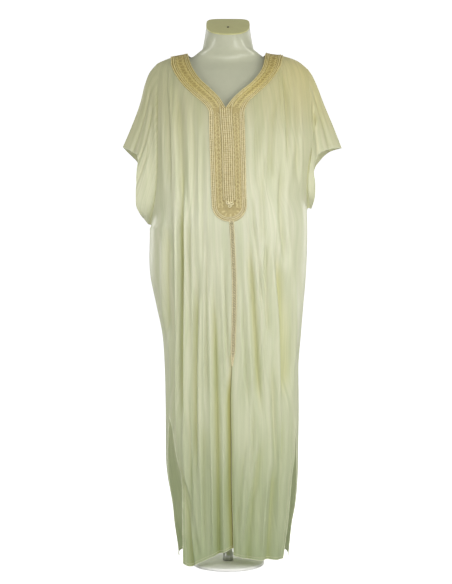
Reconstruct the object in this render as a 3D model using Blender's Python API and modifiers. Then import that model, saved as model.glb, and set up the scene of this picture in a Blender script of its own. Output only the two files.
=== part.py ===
"""A short-sleeved djellaba robe on a limbless dress form.

Metres, +Z up. The front of the robe faces -Y, and "left" and "right" are the viewer's, so
left is -X. The origin is on the floor under the middle of the stand's base plate.

Every cloth piece is a thin wall on one draped surface. A point of the body of the robe is
named by its height and by its share of the way from the centre line (0) to the seam or
slit at the side (1), and the tables below give the outline, the depth and the folds.
"""
import bpy
import bmesh
import numpy as np

# ---------------------------------------------------------------- driving sizes
GAP = 0.0003            # between pieces that meet at a seam
CLOTH_WALL = 0.0012     # sateen, with its seam allowances
TRIM_WALL = 0.0016      # embroidered band and panel
STRIP_WALL = 0.0022     # the corded strip on the panel
BRAID_WALL = 0.0020     # openwork braid between the front halves
BRAID_HALF = 0.0045     # half of the braid's width
SECTION_POWER = 2.5     # 2 is an ellipse; more is boxier

SHOULDER_X = {"left": 0.1970, "right": 0.2220}     # top of each armhole seam
ARMPIT_Z = {"left": 0.927, "right": 0.975}
SLIT_Z = 0.432          # top of both side slits
BRAID_END = 0.5528      # the braid runs from the panel's end down to here
PANEL_ROUND = 0.0445    # height of the placket panel's rounded end
PANEL_END = 0.9355
BACK_NECK_Z = 1.395     # neckline's lowest point behind the neck
BACK_BAND_Z = 1.352     # and the band's lower edge there
BUST_DROP = 0.25        # from the shoulder ridge down to the fullest part, front
BLADE_DROP = 0.18       # and back

SIDE = {"left": -1.0, "right": 1.0}


def table(columns, *rows):
    """Rows of numbers as one array for each named column."""
    return {name: np.array([row[i] for row in rows]) for i, name in enumerate(columns.split())}


# height of the shoulder's ridge at a distance from the middle
RIDGE = table(
    "x left right",
    (0.000, 1.4300, 1.4300),
    (0.060, 1.4240, 1.4240),
    (0.111, 1.4085, 1.4090),
    (0.145, 1.4025, 1.4045),
    (0.175, 1.3920, 1.3965),
    (0.197, 1.3815, 1.3865),
    (0.222, 1.3600, 1.3660))

# armhole seam: share of the way down, distance from the middle, and how much of the
# section's depth is left at the seam
ARMHOLE = table(
    "down left right depth_share",
    (0.00, 0.1970, 0.2220, 0.50),
    (0.16, 0.1900, 0.2235, 0.55),
    (0.35, 0.1900, 0.2245, 0.56),
    (0.50, 0.1900, 0.2290, 0.56),
    (0.70, 0.1915, 0.2164, 0.50),
    (0.85, 0.1990, 0.2120, 0.40),
    (1.00, 0.2133, 0.2180, 0.00))

# body of the robe below the armpits: widest reach to each side, and how far round to the
# front the side seam (below the slit's top, the back's edge) has swung
BODY = table(
    "z left right seam_share",
    (0.000, 0.1310, 0.1640, 0.22),
    (0.050, 0.1350, 0.1690, 0.25),
    (0.118, 0.1468, 0.1770, 0.29),
    (0.163, 0.1520, 0.1856, 0.31),
    (0.251, 0.1680, 0.1930, 0.36),
    (0.318, 0.1720, 0.1940, 0.41),
    (0.432, 0.1720, 0.1955, 0.50),
    (0.540, 0.1725, 0.1945, 0.44),
    (0.628, 0.1800, 0.2010, 0.36),
    (0.717, 0.1985, 0.2085, 0.26),
    (0.800, 0.2150, 0.2155, 0.15),
    (0.916, 0.2160, 0.2190, 0.02),
    (0.975, 0.2133, 0.2180, 0.00))

# the front's own free edge beside each slit
FRONT_EDGE = table(
    "z left right share_left share_right",
    (0.020, 0.1205, 0.1470, 0.74, 0.66),
    (0.140, 0.1240, 0.1630, 0.72, 0.62),
    (0.245, 0.1290, 0.1720, 0.70, 0.58),
    (0.330, 0.1430, 0.1810, 0.62, 0.55),
    (0.432, 0.1590, 0.1810, 0.50, 0.50))

# depth in front of and behind the shoulder line, and where the centre front runs
DEPTH = table(
    "z front back middle",
    (0.020, 0.111, 0.104, 0.0145),
    (0.110, 0.113, 0.105, 0.0134),
    (0.230, 0.116, 0.106, 0.0100),
    (0.360, 0.120, 0.106, 0.0093),
    (0.460, 0.122, 0.106, 0.0080),
    (0.538, 0.124, 0.107, 0.0105),
    (0.615, 0.126, 0.111, 0.0140),
    (0.689, 0.128, 0.114, 0.0160),
    (0.766, 0.131, 0.117, 0.0165),
    (0.843, 0.134, 0.116, 0.0140),
    (0.937, 0.137, 0.110, 0.0090),
    (1.000, 0.137, 0.108, 0.0030),
    (1.150, 0.133, 0.112, -0.0010),
    (1.240, 0.130, 0.115, -0.0064),
    (1.430, 0.128, 0.112, -0.0064))

# hem height by share of the way from the centre to the side
HEM = table(
    "share left right back",
    (0.00, 0.063, 0.046, 0.028),
    (0.20, 0.050, 0.037, 0.027),
    (0.55, 0.027, 0.034, 0.030),
    (0.85, 0.012, 0.031, 0.026),
    (1.00, 0.019, 0.031, 0.020))

# folds: a positive depth is a trough, a negative one a ridge
FOLD_COLUMNS = "z_top x_top z_middle x_middle z_end x_end depth width"
FRONT_FOLDS = table(
    FOLD_COLUMNS,
    (1.33, -0.140, 1.13, -0.130, 0.96, -0.122, 0.007, 0.016),
    (1.10, -0.125, 0.75, -0.123, 0.34, -0.125, 0.016, 0.012),
    (0.97, -0.163, 0.80, -0.166, 0.60, -0.163, 0.009, 0.013),
    (0.86, -0.079, 0.50, -0.089, 0.20, -0.087, 0.011, 0.013),
    (0.86, -0.043, 0.50, -0.033, 0.02, -0.026, 0.013, 0.012),
    (0.95, 0.055, 0.70, 0.071, 0.38, 0.092, 0.012, 0.012),
    (0.90, 0.124, 0.69, 0.145, 0.42, 0.151, 0.013, 0.016),
    (0.32, -0.137, 0.20, -0.115, 0.02, -0.098, 0.011, 0.015),
    (0.40, 0.095, 0.24, 0.075, 0.02, 0.052, 0.009, 0.015),
    (0.32, 0.128, 0.18, 0.120, 0.02, 0.110, 0.010, 0.014))
BACK_FOLDS = table(
    FOLD_COLUMNS,
    (1.20, -0.075, 0.80, -0.066, 0.02, -0.052, 0.012, 0.016),
    (1.16, 0.062, 0.75, 0.072, 0.02, 0.061, 0.013, 0.015),
    (1.02, -0.012, 0.60, 0.004, 0.02, 0.010, 0.011, 0.015),
    (1.05, -0.140, 0.70, -0.130, 0.02, -0.102, 0.014, 0.014),
    (1.08, 0.142, 0.66, 0.135, 0.02, 0.118, 0.013, 0.015))

# sleeve mouth, front half and back half, from the tip down to the underarm seam
MOUTH = {
    "left": table(
        "down front_x front_y front_z back_x back_y back_z",
        (0.00, 0.2910, 0.000, 1.1520, 0.2910, 0.000, 1.1520),
        (0.14, 0.2660, 0.026, 1.1370, 0.2710, 0.024, 1.1310),
        (0.28, 0.2460, 0.046, 1.1190, 0.2530, 0.045, 1.1120),
        (0.50, 0.2500, 0.052, 1.0500, 0.2480, 0.052, 1.0480),
        (0.76, 0.2505, 0.046, 0.9900, 0.2450, 0.046, 0.9900),
        (0.90, 0.2420, 0.026, 0.9660, 0.2400, 0.026, 0.9660),
        (1.00, 0.2350, 0.000, 0.9550, 0.2350, 0.000, 0.9550)),
    "right": table(
        "down front_x front_y front_z back_x back_y back_z",
        (0.00, 0.3150, 0.000, 1.1490, 0.3150, 0.000, 1.1490),
        (0.14, 0.2840, 0.022, 1.1450, 0.2860, 0.022, 1.1420),
        (0.32, 0.2480, 0.045, 1.1260, 0.2605, 0.042, 1.1220),
        (0.48, 0.2335, 0.060, 1.0850, 0.2400, 0.056, 1.0850),
        (0.70, 0.2370, 0.052, 1.0300, 0.2350, 0.052, 1.0300),
        (0.86, 0.2355, 0.034, 1.0020, 0.2350, 0.034, 1.0030),
        (1.00, 0.2300, 0.000, 0.9800, 0.2300, 0.000, 0.9800)),
}

# the sleeve's top line from shoulder to tip
SLEEVE_TOP = table(
    "out left_x left_z right_x right_z",
    (0.00, 0.1970, 1.3815, 0.2220, 1.3660),
    (0.12, 0.2160, 1.3594, 0.2330, 1.3500),
    (0.28, 0.2300, 1.3260, 0.2470, 1.3200),
    (0.50, 0.2440, 1.2710, 0.2660, 1.2700),
    (0.75, 0.2640, 1.2160, 0.2910, 1.2100),
    (1.00, 0.2910, 1.1520, 0.3150, 1.1490))

# how far the sleeve sits behind the body's edge next to the armhole, down the seam
SET_BACK = table(
    "down left right",
    (0.00, 0.000, 0.000),
    (0.15, 0.003, 0.006),
    (0.30, 0.006, 0.012),
    (0.48, 0.006, 0.002),
    (0.80, 0.005, 0.000),
    (1.00, 0.000, 0.000))

# the form: half width, reach to the front and back, and how boxy each ring is
FORM = table(
    "z half front back power",
    (0.700, 0.108, 0.060, 0.058, 2.0),
    (0.704, 0.137, 0.080, 0.076, 2.1),
    (0.716, 0.150, 0.090, 0.084, 2.2),
    (0.780, 0.160, 0.096, 0.092, 2.2),
    (0.850, 0.158, 0.096, 0.092, 2.2),
    (0.930, 0.140, 0.088, 0.086, 2.2),
    (1.000, 0.126, 0.086, 0.080, 2.2),
    (1.070, 0.134, 0.096, 0.082, 2.2),
    (1.130, 0.148, 0.115, 0.088, 2.3),
    (1.180, 0.158, 0.119, 0.092, 2.4),
    (1.240, 0.168, 0.107, 0.094, 2.4),
    (1.290, 0.178, 0.090, 0.090, 2.3),
    (1.330, 0.183, 0.070, 0.078, 2.3),
    (1.355, 0.181, 0.056, 0.063, 2.1),
    (1.372, 0.174, 0.044, 0.050, 1.9),
    (1.384, 0.152, 0.038, 0.044, 1.65),
    (1.394, 0.120, 0.038, 0.044, 1.5),
    (1.401, 0.097, 0.041, 0.046, 1.6),
    (1.409, 0.086, 0.046, 0.049, 1.9),
    (1.420, 0.0715, 0.051, 0.052, 2.0))

NECK_TOP_FRONT_Z, NECK_TOP_BACK_Z = 1.447, 1.5135
NECK_TOP_HALF = 0.0596
NECK_TOP_FRONT, NECK_TOP_BACK = 0.062, 0.042
CAP_THICK = 0.003
POLE_RADIUS = 0.0125
BASE_RADIUS, BASE_THICK = 0.100, 0.008

# how finely the cloth is divided
SHARE_PANEL = 3         # columns across half the placket panel
SHARE_BAND = 7          # columns that start on the neck band
SHARE_SHOULDER = 4      # columns that start on the shoulder seam
ROWS_UPPER = 8          # rows from the neck down to the panel's end
ROWS_MIDDLE = 8         # from the armpits down to the slits
ROWS_LOWER = 8          # beside the slits
UPPER_SHARE = 0.834     # of the way to the armpit row at the panel's end
SLEEVE_RINGS = 6


# ---------------------------------------------------------------- interpolation
def through(at, xs, ys):
    """Cubic Hermite curve through the points (xs, ys), flat beyond both ends."""
    at = np.clip(np.asarray(at, float), xs[0], xs[-1])
    steps = np.diff(xs)
    slopes = np.diff(ys) / steps
    tangents = np.concatenate((slopes[:1], (slopes[:-1] + slopes[1:]) / 2, slopes[-1:]))
    turning = np.concatenate(([False], slopes[:-1] * slopes[1:] <= 0, [False]))
    tangents = np.where(turning, 0.0, tangents)
    i = np.clip(np.searchsorted(xs, at, side="right") - 1, 0, len(xs) - 2)
    t = (at - xs[i]) / steps[i]
    return ((2 * t**3 - 3 * t**2 + 1) * ys[i] + (t**3 - 2 * t**2 + t) * steps[i] * tangents[i]
            + (3 * t**2 - 2 * t**3) * ys[i + 1] + (t**3 - t**2) * steps[i] * tangents[i + 1])


def look(rows, key, value, at):
    return through(at, rows[key], rows[value])


def mix(a, b, t):
    return a + (b - a) * t


def smooth(t):
    t = np.clip(t, 0.0, 1.0)
    return t * t * (3 - 2 * t)


# ---------------------------------------------------------------- the draped surface
def ridge_z(side, x):
    return look(RIDGE, "x", side, np.abs(x))


SHOULDER_Z = {side: float(ridge_z(side, SHOULDER_X[side])) for side in SIDE}


def rounding(drop, fullest):
    """Share of the full depth reached this far below the ridge: round on top, then upright."""
    t = np.clip(drop / fullest, 0.0, 1.0)
    return (1 - (1 - t)**1.6)**0.6


def edge_of(side, face, z):
    """Seam or slit edge at height z: its reach from the middle, and its share of the depth."""
    z = np.asarray(z, float)
    down = np.clip((SHOULDER_Z[side] - z) / (SHOULDER_Z[side] - ARMPIT_Z[side]), 0, 1)
    reach = look(ARMHOLE, "down", side, down)
    share = look(ARMHOLE, "down", "depth_share", down)
    wide = look(BODY, "z", side, z)
    swing = look(BODY, "z", "seam_share", z)
    centre = SIDE[side] * ring_middle(z)
    seam = centre + (wide - centre) * (1 - swing**SECTION_POWER)**(1 / SECTION_POWER)
    above = z >= ARMPIT_Z[side]
    if face == "back":
        return np.where(above, reach, wide), np.where(above, share, -swing)
    free = z < SLIT_Z
    own = look(FRONT_EDGE, "z", side, z)
    own_share = look(FRONT_EDGE, "z", "share_" + side, z)
    reach = np.where(above, reach, np.where(free, own, seam))
    return reach, np.where(above, share, np.where(free, own_share, swing))


def ring_middle(z):
    """Middle of the whole ring, half way between its two sides."""
    return (look(BODY, "z", "right", z) - look(BODY, "z", "left", z)) / 2


def centre_front(z):
    return look(DEPTH, "z", "middle", z)


def fold_depth(folds, x, z):
    """Sum of the folds at (x, z): each is a trough with a low ridge on both of its sides."""
    total = np.zeros(np.broadcast(x, z).shape)
    for k in range(len(folds["depth"])):
        top, middle, end = (folds[name][k] for name in ("z_top", "z_middle", "z_end"))
        line = through(z, np.array([end, middle, top]),
                       np.array([folds["x_end"][k], folds["x_middle"][k], folds["x_top"][k]]))
        off = (x - line) / folds["width"][k]
        shape = np.exp(-off**2) - 0.35 * np.exp(-1.5 * (np.abs(off) - 1.9)**2)
        length = top - end
        begin = smooth((top - z) / (0.3 * length))
        finish = 1.0 if end < 0.03 else smooth((z - end) / (0.25 * length))
        total = total + folds["depth"][k] * shape * begin * finish
    return total


def half_gap(z):
    """Half of the space between the two front halves: the braid's, or a hair where they meet."""
    braided = smooth((PANEL_END + 0.0395 - z) / 0.030) * smooth((z - BRAID_END + 0.030) / 0.030)
    return mix(GAP / 2, BRAID_HALF + GAP, braided) + 0.0005 * smooth((BRAID_END - z) / 0.030)


def body(side, face, share, z):
    """Points of the robe's body at a share of the way from its centre line to its edge."""
    share, z = np.broadcast_arrays(np.asarray(share, float), np.asarray(z, float))
    sign, power = SIDE[side], SECTION_POWER
    reach, left_over = edge_of(side, face, z)
    angle_end = np.arccos(np.sign(left_over) * np.abs(left_over)**(power / 2))
    angle = share * angle_end
    across = np.sin(angle)**(2 / power)
    along = np.cos(angle)
    along = np.sign(along) * np.abs(along)**(2 / power)
    if face == "front":
        middle = centre_front(z)
        part = across / np.sin(angle_end)**(2 / power)
        x = middle + sign * ((reach - sign * middle) * part + half_gap(z) * (1 - part))
    else:
        middle = ring_middle(z)
        span = reach - sign * middle
        open_edge = left_over > 0
        across_end = np.where(open_edge, np.sin(angle_end)**(2 / power), 1.0)
        x = middle + sign * span * across / across_end
    front, back = look(DEPTH, "z", "front", z), look(DEPTH, "z", "back", z)
    drop = ridge_z(side, x) - z
    if face == "front":
        y = -front * along * rounding(drop, BUST_DROP)
    else:
        y = np.where(along > 0, back * rounding(drop, BLADE_DROP), front) * along
    return np.stack((x, y, z), axis=-1), angle


def panel_point(side, face, share, z):
    """A point of the body with its folds pressed in."""
    point, angle = body(side, face, share, z)
    share, z = np.broadcast_arrays(np.asarray(share, float), np.asarray(z, float))
    folds = FRONT_FOLDS if face == "front" else BACK_FOLDS
    held = smooth((1 - share) / 0.16)
    slit = smooth((SLIT_Z - z) / 0.08)
    depth = fold_depth(folds, point[..., 0], z) * mix(held, 1.0, slit * 0.6)
    inward = np.stack((-SIDE[side] * np.sin(angle), np.cos(angle) * (1 if face == "front" else -1),
                       np.zeros_like(z)), axis=-1)
    point = point + inward * depth[..., None]
    if face == "front":
        edge = np.abs(point[..., 0] - centre_front(z))
        deep, wide = (0.024, 0.016) if side == "left" else (0.014, 0.006)
        roll = deep * np.exp(-(edge / wide)**2) * smooth((BRAID_END + 0.02 - z) / 0.12)
        point[..., 1] += roll
    return point


# ---------------------------------------------------------------- neckline
NECKLINE = table(
    "along left_in_x left_in_z left_out_x left_out_z right_in_x right_in_z right_out_x right_out_z",
    (0.00, -0.0064, 1.2400, -0.0510, 1.2320, -0.0064, 1.2400, 0.0430, 1.2320),
    (0.20, -0.0230, 1.2680, -0.0650, 1.2510, 0.0110, 1.2640, 0.0570, 1.2590),
    (0.42, -0.0480, 1.2950, -0.0950, 1.2790, 0.0330, 1.2860, 0.0850, 1.2870),
    (0.64, -0.0780, 1.3270, -0.1280, 1.3160, 0.0650, 1.3150, 0.1160, 1.3210),
    (0.84, -0.1000, 1.3680, -0.1530, 1.3620, 0.0920, 1.3560, 0.1420, 1.3640),
    (1.00, -0.1110, 1.4085, -0.1580, 1.3985, 0.1040, 1.4105, 0.1520, 1.4030))


def neck_edge(side, edge, along):
    """Inner or outer edge of the neck band, from the V point up to the shoulder seam."""
    x = look(NECKLINE, "along", f"{side}_{edge}_x", along)
    z = look(NECKLINE, "along", f"{side}_{edge}_z", along)
    return x, np.where(np.asarray(along) > 0.999, ridge_z(side, x), z)


def back_neck_edge(side, edge, along):
    """Edge of the band behind the neck, from the middle (0) out to the shoulder seam (1)."""
    x_end = neck_edge(side, edge, 1.0)[0]
    low = BACK_NECK_Z if edge == "in" else BACK_BAND_Z
    turn = np.asarray(along, float) * np.pi / 2
    middle = ring_middle(low)
    x = middle + (x_end - middle) * np.sin(turn)
    return x, low + (ridge_z(side, x_end) - low) * (1 - np.cos(turn))


def share_of(side, face, x, z):
    """The share of the way to the edge that a place seen from the front has."""
    reach, left_over = edge_of(side, face, z)
    power = SECTION_POWER
    middle = centre_front(z) if face == "front" else ring_middle(z)
    angle_end = np.arccos(np.abs(left_over)**(power / 2))
    gap = half_gap(z) if face == "front" else 0.0
    far = reach - SIDE[side] * middle
    part = (SIDE[side] * (x - middle) - gap) / (far - gap)
    across = np.clip(part, 0, 1) * np.sin(angle_end)**(2 / power)
    return np.arcsin(np.clip(across**(power / 2), 0, 1)) / angle_end


# ---------------------------------------------------------------- rows and columns
PANEL_SIDES = table(
    "z left right",
    (0.9000, -0.0390, 0.0560),
    (0.9800, -0.0430, 0.0495),
    (1.0800, -0.0470, 0.0470),
    (1.1700, -0.0500, 0.0440),
    (1.2320, -0.0510, 0.0430))
ARMPIT_ROW_MIDDLE, ARMPIT_ROW_PANEL = 0.915, 0.930


def upper_steps():
    """Share of the way from the neckline and shoulder down to the armpit row, for each row."""
    rows = UPPER_SHARE * np.linspace(0.0, 1.0, ROWS_UPPER + 1)**1.25
    return np.append(rows, ((UPPER_SHARE + 1.0) / 2, 1.0))


def panel_grid(side, steps, columns):
    """Half of the placket panel's rows and columns, and on to the armpit row: share and z."""
    across = np.linspace(0.0, 1.0, columns + 1)[None, :]
    steps = steps[:, None]
    top_x = mix(NECKLINE[side + "_in_x"][0], NECKLINE[side + "_out_x"][0], across)
    top_z = mix(NECKLINE[side + "_in_z"][0], NECKLINE[side + "_out_z"][0], across)
    side_z = mix(NECKLINE[side + "_out_z"][0], ARMPIT_ROW_PANEL, steps)
    sag = mix(0.0, PANEL_ROUND, np.clip(steps / UPPER_SHARE, 0, 1)**3)
    below = np.clip((steps - UPPER_SHARE) / (1 - UPPER_SHARE), 0, 1)
    sag = mix(sag, ARMPIT_ROW_PANEL - ARMPIT_ROW_MIDDLE, below)
    round_row = smooth(steps / UPPER_SHARE)
    shape = mix(1 - across, np.sqrt(1 - across**2), round_row)
    z = side_z - sag * shape + (1 - across) * (top_z[:, :1] - top_z[:, -1:]) * (1 - round_row)
    x = mix(centre_front(z), look(PANEL_SIDES, "z", side, z), across)
    x = np.where(steps == 0, top_x, x)
    z = np.where(steps == 0, top_z, z)
    return share_of(side, "front", x, z), z


def outer_grid(side, face, steps, band_columns, shoulder_columns):
    """Columns that start on the band's outer edge or the shoulder seam, to the armpit row."""
    along = np.linspace(0.0, 1.0, band_columns + 1)
    edge = neck_edge if face == "front" else back_neck_edge
    x, z = edge(side, "out", along)
    ridge_x = np.linspace(x[-1], SIDE[side] * SHOULDER_X[side], shoulder_columns + 1)[1:]
    top_x = np.append(x, ridge_x)
    top_z = np.append(z, ridge_z(side, ridge_x))
    top_z[-1] = SHOULDER_Z[side]
    top_share = share_of(side, face, top_x, top_z)
    top_share[-1] = 1.0
    even = np.linspace(0.0, 1.0, len(top_x))
    inner_z = ARMPIT_ROW_PANEL if face == "front" else ARMPIT_ROW_MIDDLE
    z = mix(top_z[None, :], mix(inner_z, ARMPIT_Z[side], even)[None, :], steps[:, None])
    if face == "front":
        inner = share_of(side, face, look(PANEL_SIDES, "z", side, z[:, 0]), z[:, 0])
        inner[0] = top_share[0]
    else:
        inner = np.zeros(len(steps))
    part = (top_share - top_share[0]) / (1 - top_share[0])
    part = mix(part[None, :], even[None, :], steps[:, None])
    return inner[:, None] + (1 - inner[:, None]) * part, z


def lower_grid(side, face, share, armpit_z):
    """From the armpit row down to the slit's top, level there, and on to the hem."""
    hem = look(HEM, "share", side if face == "front" else "back", share)
    down = np.linspace(0.0, 1.0, ROWS_MIDDLE + 1)[:, None]
    middle = mix(armpit_z[None, :], SLIT_Z, down)
    down = np.linspace(0.0, 1.0, ROWS_LOWER + 1)[1:, None]
    lower = mix(SLIT_Z, hem[None, :], down)
    z = np.concatenate((middle, lower))
    return np.broadcast_to(share, z.shape), z


# ---------------------------------------------------------------- surfaces made of patches
class Surface:
    """One piece's outer face: patches of points that share their edges, welded together."""

    def __init__(self, patches, outward):
        points, quads, offset, self.slots = [], [], 0, []
        for patch in patches:
            rows, columns = patch.shape[:2]
            index = np.arange(rows * columns).reshape(rows, columns) + offset
            face = np.stack((index[:-1, :-1], index[1:, :-1], index[1:, 1:], index[:-1, 1:]), -1)
            across, down = patch[:-1, 1:] - patch[:-1, :-1], patch[1:, :-1] - patch[:-1, :-1]
            facing = np.cross(down, across) * outward(patch[:-1, :-1])
            if facing.sum() < 0:
                face = face[..., ::-1]
            points.append(patch.reshape(-1, 3))
            quads.append(face.reshape(-1, 4))
            self.slots.append(index)
            offset += rows * columns
        points = np.concatenate(points)
        quads = np.concatenate(quads)
        _, first, inverse = np.unique(np.round(points, 6), axis=0, return_index=True,
                                      return_inverse=True)
        inverse = inverse.reshape(-1)
        self.points = points[first]
        self.quads = inverse[quads]
        self.slots = [inverse[index] for index in self.slots]

    def face_normals(self):
        corner = self.points[self.quads]
        return np.cross(corner[:, 2] - corner[:, 0], corner[:, 3] - corner[:, 1])


def shared_normals(surfaces):
    """Normals at every point, the same for all the pieces that meet there."""
    points = np.concatenate([surface.points for surface in surfaces])
    total = []
    for surface in surfaces:
        normals = np.zeros_like(surface.points)
        face = surface.face_normals()
        for corner in range(4):
            np.add.at(normals, surface.quads[:, corner], face)
        total.append(normals)
    total = np.concatenate(total)
    _, inverse = np.unique(np.round(points, 5), axis=0, return_inverse=True)
    inverse = inverse.reshape(-1)
    summed = np.zeros((inverse.max() + 1, 3))
    np.add.at(summed, inverse, total)
    normals = summed[inverse]
    normals /= np.linalg.norm(normals, axis=1)[:, None]
    start = 0
    for surface in surfaces:
        surface.normals = normals[start:start + len(surface.points)]
        start += len(surface.points)


def boundary_edges(quads):
    """Directed edges that only one face has."""
    edges = np.concatenate([quads[:, [k, (k + 1) % 4]] for k in range(4)])
    edges = edges[edges[:, 0] != edges[:, 1]]
    both = {tuple(edge) for edge in edges}
    return np.array([edge for edge in edges if (edge[1], edge[0]) not in both])


def drawn_in(points, quads, distance):
    """Points with the outline moved in along the surface."""
    rim = boundary_edges(quads)
    centres = points[quads].mean(axis=1)
    total, count = np.zeros_like(points), np.zeros(len(points))
    for corner in range(4):
        np.add.at(total, quads[:, corner], centres)
        np.add.at(count, quads[:, corner], 1)
    along = np.zeros_like(points)
    direction = points[rim[:, 1]] - points[rim[:, 0]]
    direction /= np.linalg.norm(direction, axis=1)[:, None]
    np.add.at(along, rim[:, 0], direction)
    np.add.at(along, rim[:, 1], direction)
    edge = np.unique(rim)
    tangent = along[edge] / np.maximum(np.linalg.norm(along[edge], axis=1), 1e-9)[:, None]
    inward = total[edge] / count[edge, None] - points[edge]
    corner = np.linalg.norm(along[edge], axis=1) < 1.7
    straight = inward - (inward * tangent).sum(axis=1)[:, None] * tangent
    inward = np.where(corner[:, None], inward, straight)
    inward /= np.linalg.norm(inward, axis=1)[:, None]
    moved = points.copy()
    moved[edge] += inward * np.where(corner, 1.5 * distance, distance)[:, None]
    return moved


def halved(points, normals, quads):
    """Each face as two triangles, split on the diagonal that stands further out."""
    corner = points[quads]
    bulge = corner[:, 0] + corner[:, 2] - corner[:, 1] - corner[:, 3]
    first = (bulge * normals[quads].sum(axis=1)).sum(axis=1) > 0
    turned = np.where(first[:, None], quads, np.roll(quads, -1, axis=1))
    return np.concatenate((turned[:, [0, 1, 2]], turned[:, [0, 2, 3]]))


def wall(name, points, normals, quads, inner, outer, colour):
    """A closed wall between two offsets of a surface, with its rim.

    It is made point by point, because the offsets follow normals shared between pieces and
    both faces of the wall are split on the same diagonals.
    """
    used = np.unique(quads)
    renumber = np.full(len(points), -1)
    renumber[used] = np.arange(len(used))
    points, normals, quads = points[used], normals[used], renumber[quads]
    triangles = halved(points, normals, quads)
    points = drawn_in(points, quads, GAP / 2 + 0.00005)
    count = len(points)
    rim = boundary_edges(quads)
    sides = np.stack((rim[:, 1], rim[:, 0], rim[:, 0] + count, rim[:, 1] + count), axis=-1)
    vertices = np.concatenate((points + normals * outer, points + normals * inner))
    faces = triangles.tolist() + (triangles[:, ::-1] + count).tolist() + sides.tolist()
    mesh = bpy.data.meshes.new(name)
    mesh.from_pydata(vertices.tolist(), [], faces)
    mesh.materials.append(colour)
    mesh.shade_smooth()
    mesh.update()
    made = bpy.data.objects.new(name, mesh)
    robe.objects.link(made)
    return made


# ---------------------------------------------------------------- materials and collections
def material(name, colour, roughness, metallic=0.0):
    made = bpy.data.materials.new(name)
    made.use_nodes = True
    shader = made.node_tree.nodes["Principled BSDF"]
    shader.inputs["Base Color"].default_value = (*colour, 1.0)
    shader.inputs["Roughness"].default_value = roughness
    shader.inputs["Metallic"].default_value = metallic
    return made


for leftover in list(bpy.data.objects):
    bpy.data.objects.remove(leftover, do_unlink=True)
robe = bpy.data.collections.new("djellaba_robe")
bpy.context.scene.collection.children.link(robe)

SATEEN = material("sateen", (0.60, 0.61, 0.38), 0.45)
GOLD_TRIM = material("gold_trim", (0.56, 0.44, 0.20), 0.60)
FORM_PLASTIC = material("form_plastic", (0.78, 0.79, 0.75), 0.22)
CAP_PLASTIC = material("cap_plastic", (0.40, 0.38, 0.22), 0.45)
STEEL = material("brushed_steel", (0.62, 0.62, 0.62), 0.30, 1.0)
WHITE_STEEL = material("white_steel", (0.82, 0.82, 0.80), 0.35, 0.2)


# ---------------------------------------------------------------- cloth
def away_from_axis(points):
    return points * np.array((1.0, 1.0, 0.0))


def front_surface(side):
    """Band patch, panel patch, outer patch and the two patches below, for one front half."""
    steps = upper_steps()
    along = np.linspace(0.0, 1.0, SHARE_BAND + 1)
    in_x, in_z = neck_edge(side, "in", along)
    out_x, out_z = neck_edge(side, "out", along)
    across = np.linspace(0.0, 1.0, SHARE_PANEL + 1)[None, :]
    x = mix(in_x[:, None], out_x[:, None], across)
    z = mix(in_z[:, None], out_z[:, None], across)
    z[-1] = ridge_z(side, x[-1])
    band = panel_point(side, "front", share_of(side, "front", x, z), z)
    panel_share, panel_z = panel_grid(side, steps, SHARE_PANEL)
    outer_share, outer_z = outer_grid(side, "front", steps, SHARE_BAND, SHARE_SHOULDER)
    patches = [band,
               panel_point(side, "front", panel_share, panel_z),
               panel_point(side, "front", outer_share, outer_z)]
    for share, z in ((panel_share[-1], panel_z[-1]), (outer_share[-1], outer_z[-1])):
        patches.append(panel_point(side, "front", *lower_grid(side, "front", share, z)))
    return Surface(patches, away_from_axis)


def back_surface():
    steps = upper_steps()
    along = np.linspace(0.0, 1.0, SHARE_BAND + 1)
    across = np.linspace(0.0, 1.0, SHARE_PANEL + 1)[None, :]
    patches = []
    for side in ("left", "right"):
        in_x, in_z = back_neck_edge(side, "in", along)
        out_x, out_z = back_neck_edge(side, "out", along)
        x = mix(in_x[:, None], out_x[:, None], across)
        z = mix(in_z[:, None], out_z[:, None], across)
        z[-1] = ridge_z(side, x[-1])
        patches.append(panel_point(side, "back", share_of(side, "back", x, z), z))
        share, z = outer_grid(side, "back", steps, SHARE_BAND, SHARE_SHOULDER)
        patches.append(panel_point(side, "back", share, z))
        patches.append(panel_point(side, "back", *lower_grid(side, "back", share[-1], z[-1])))
    return Surface(patches, away_from_axis)


def sleeve_surface(side):
    """Rings from the armhole out to the mouth, each from the top down the front, up the back."""
    steps = upper_steps()
    seam_z = mix(SHOULDER_Z[side], ARMPIT_Z[side], steps)
    front = panel_point(side, "front", 1.0, seam_z)
    back = panel_point(side, "back", 1.0, seam_z)
    mouth = MOUTH[side]
    sign = SIDE[side]
    ends = {}
    for face, depth_sign in (("front", -1.0), ("back", 1.0)):
        ends[face] = np.stack((sign * look(mouth, "down", face + "_x", steps),
                               depth_sign * look(mouth, "down", face + "_y", steps),
                               look(mouth, "down", face + "_z", steps)), axis=-1)

    def top_at(out):
        return np.array((sign * look(SLEEVE_TOP, "out", side + "_x", out), 0.0,
                         look(SLEEVE_TOP, "out", side + "_z", out)))

    top_line = top_at(0.0), top_at(1.0)
    rings = []
    for out in np.linspace(0.0, 1.0, SLEEVE_RINGS + 1):
        top = top_at(out)
        lift = top - mix(top_line[0], top_line[1], out)
        fall = ((1 - steps)**2)[:, None]
        halves = []
        for face, seam, depth_sign in (("front", front, 1.0), ("back", back, -1.0)):
            half = mix(seam, ends[face], out) + lift * fall
            set_back = look(SET_BACK, "down", side, steps)
            half[:, 1] += depth_sign * set_back * np.sin(np.pi * min(1.0, out / 0.5))
            halves.append(half)
        rings.append(np.concatenate((halves[0], halves[1][-2:0:-1], halves[0][:1])))
    middle = np.mean([ring.mean(axis=0) for ring in rings], axis=0)
    return Surface([np.array(rings)], lambda points: points - middle)


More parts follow.
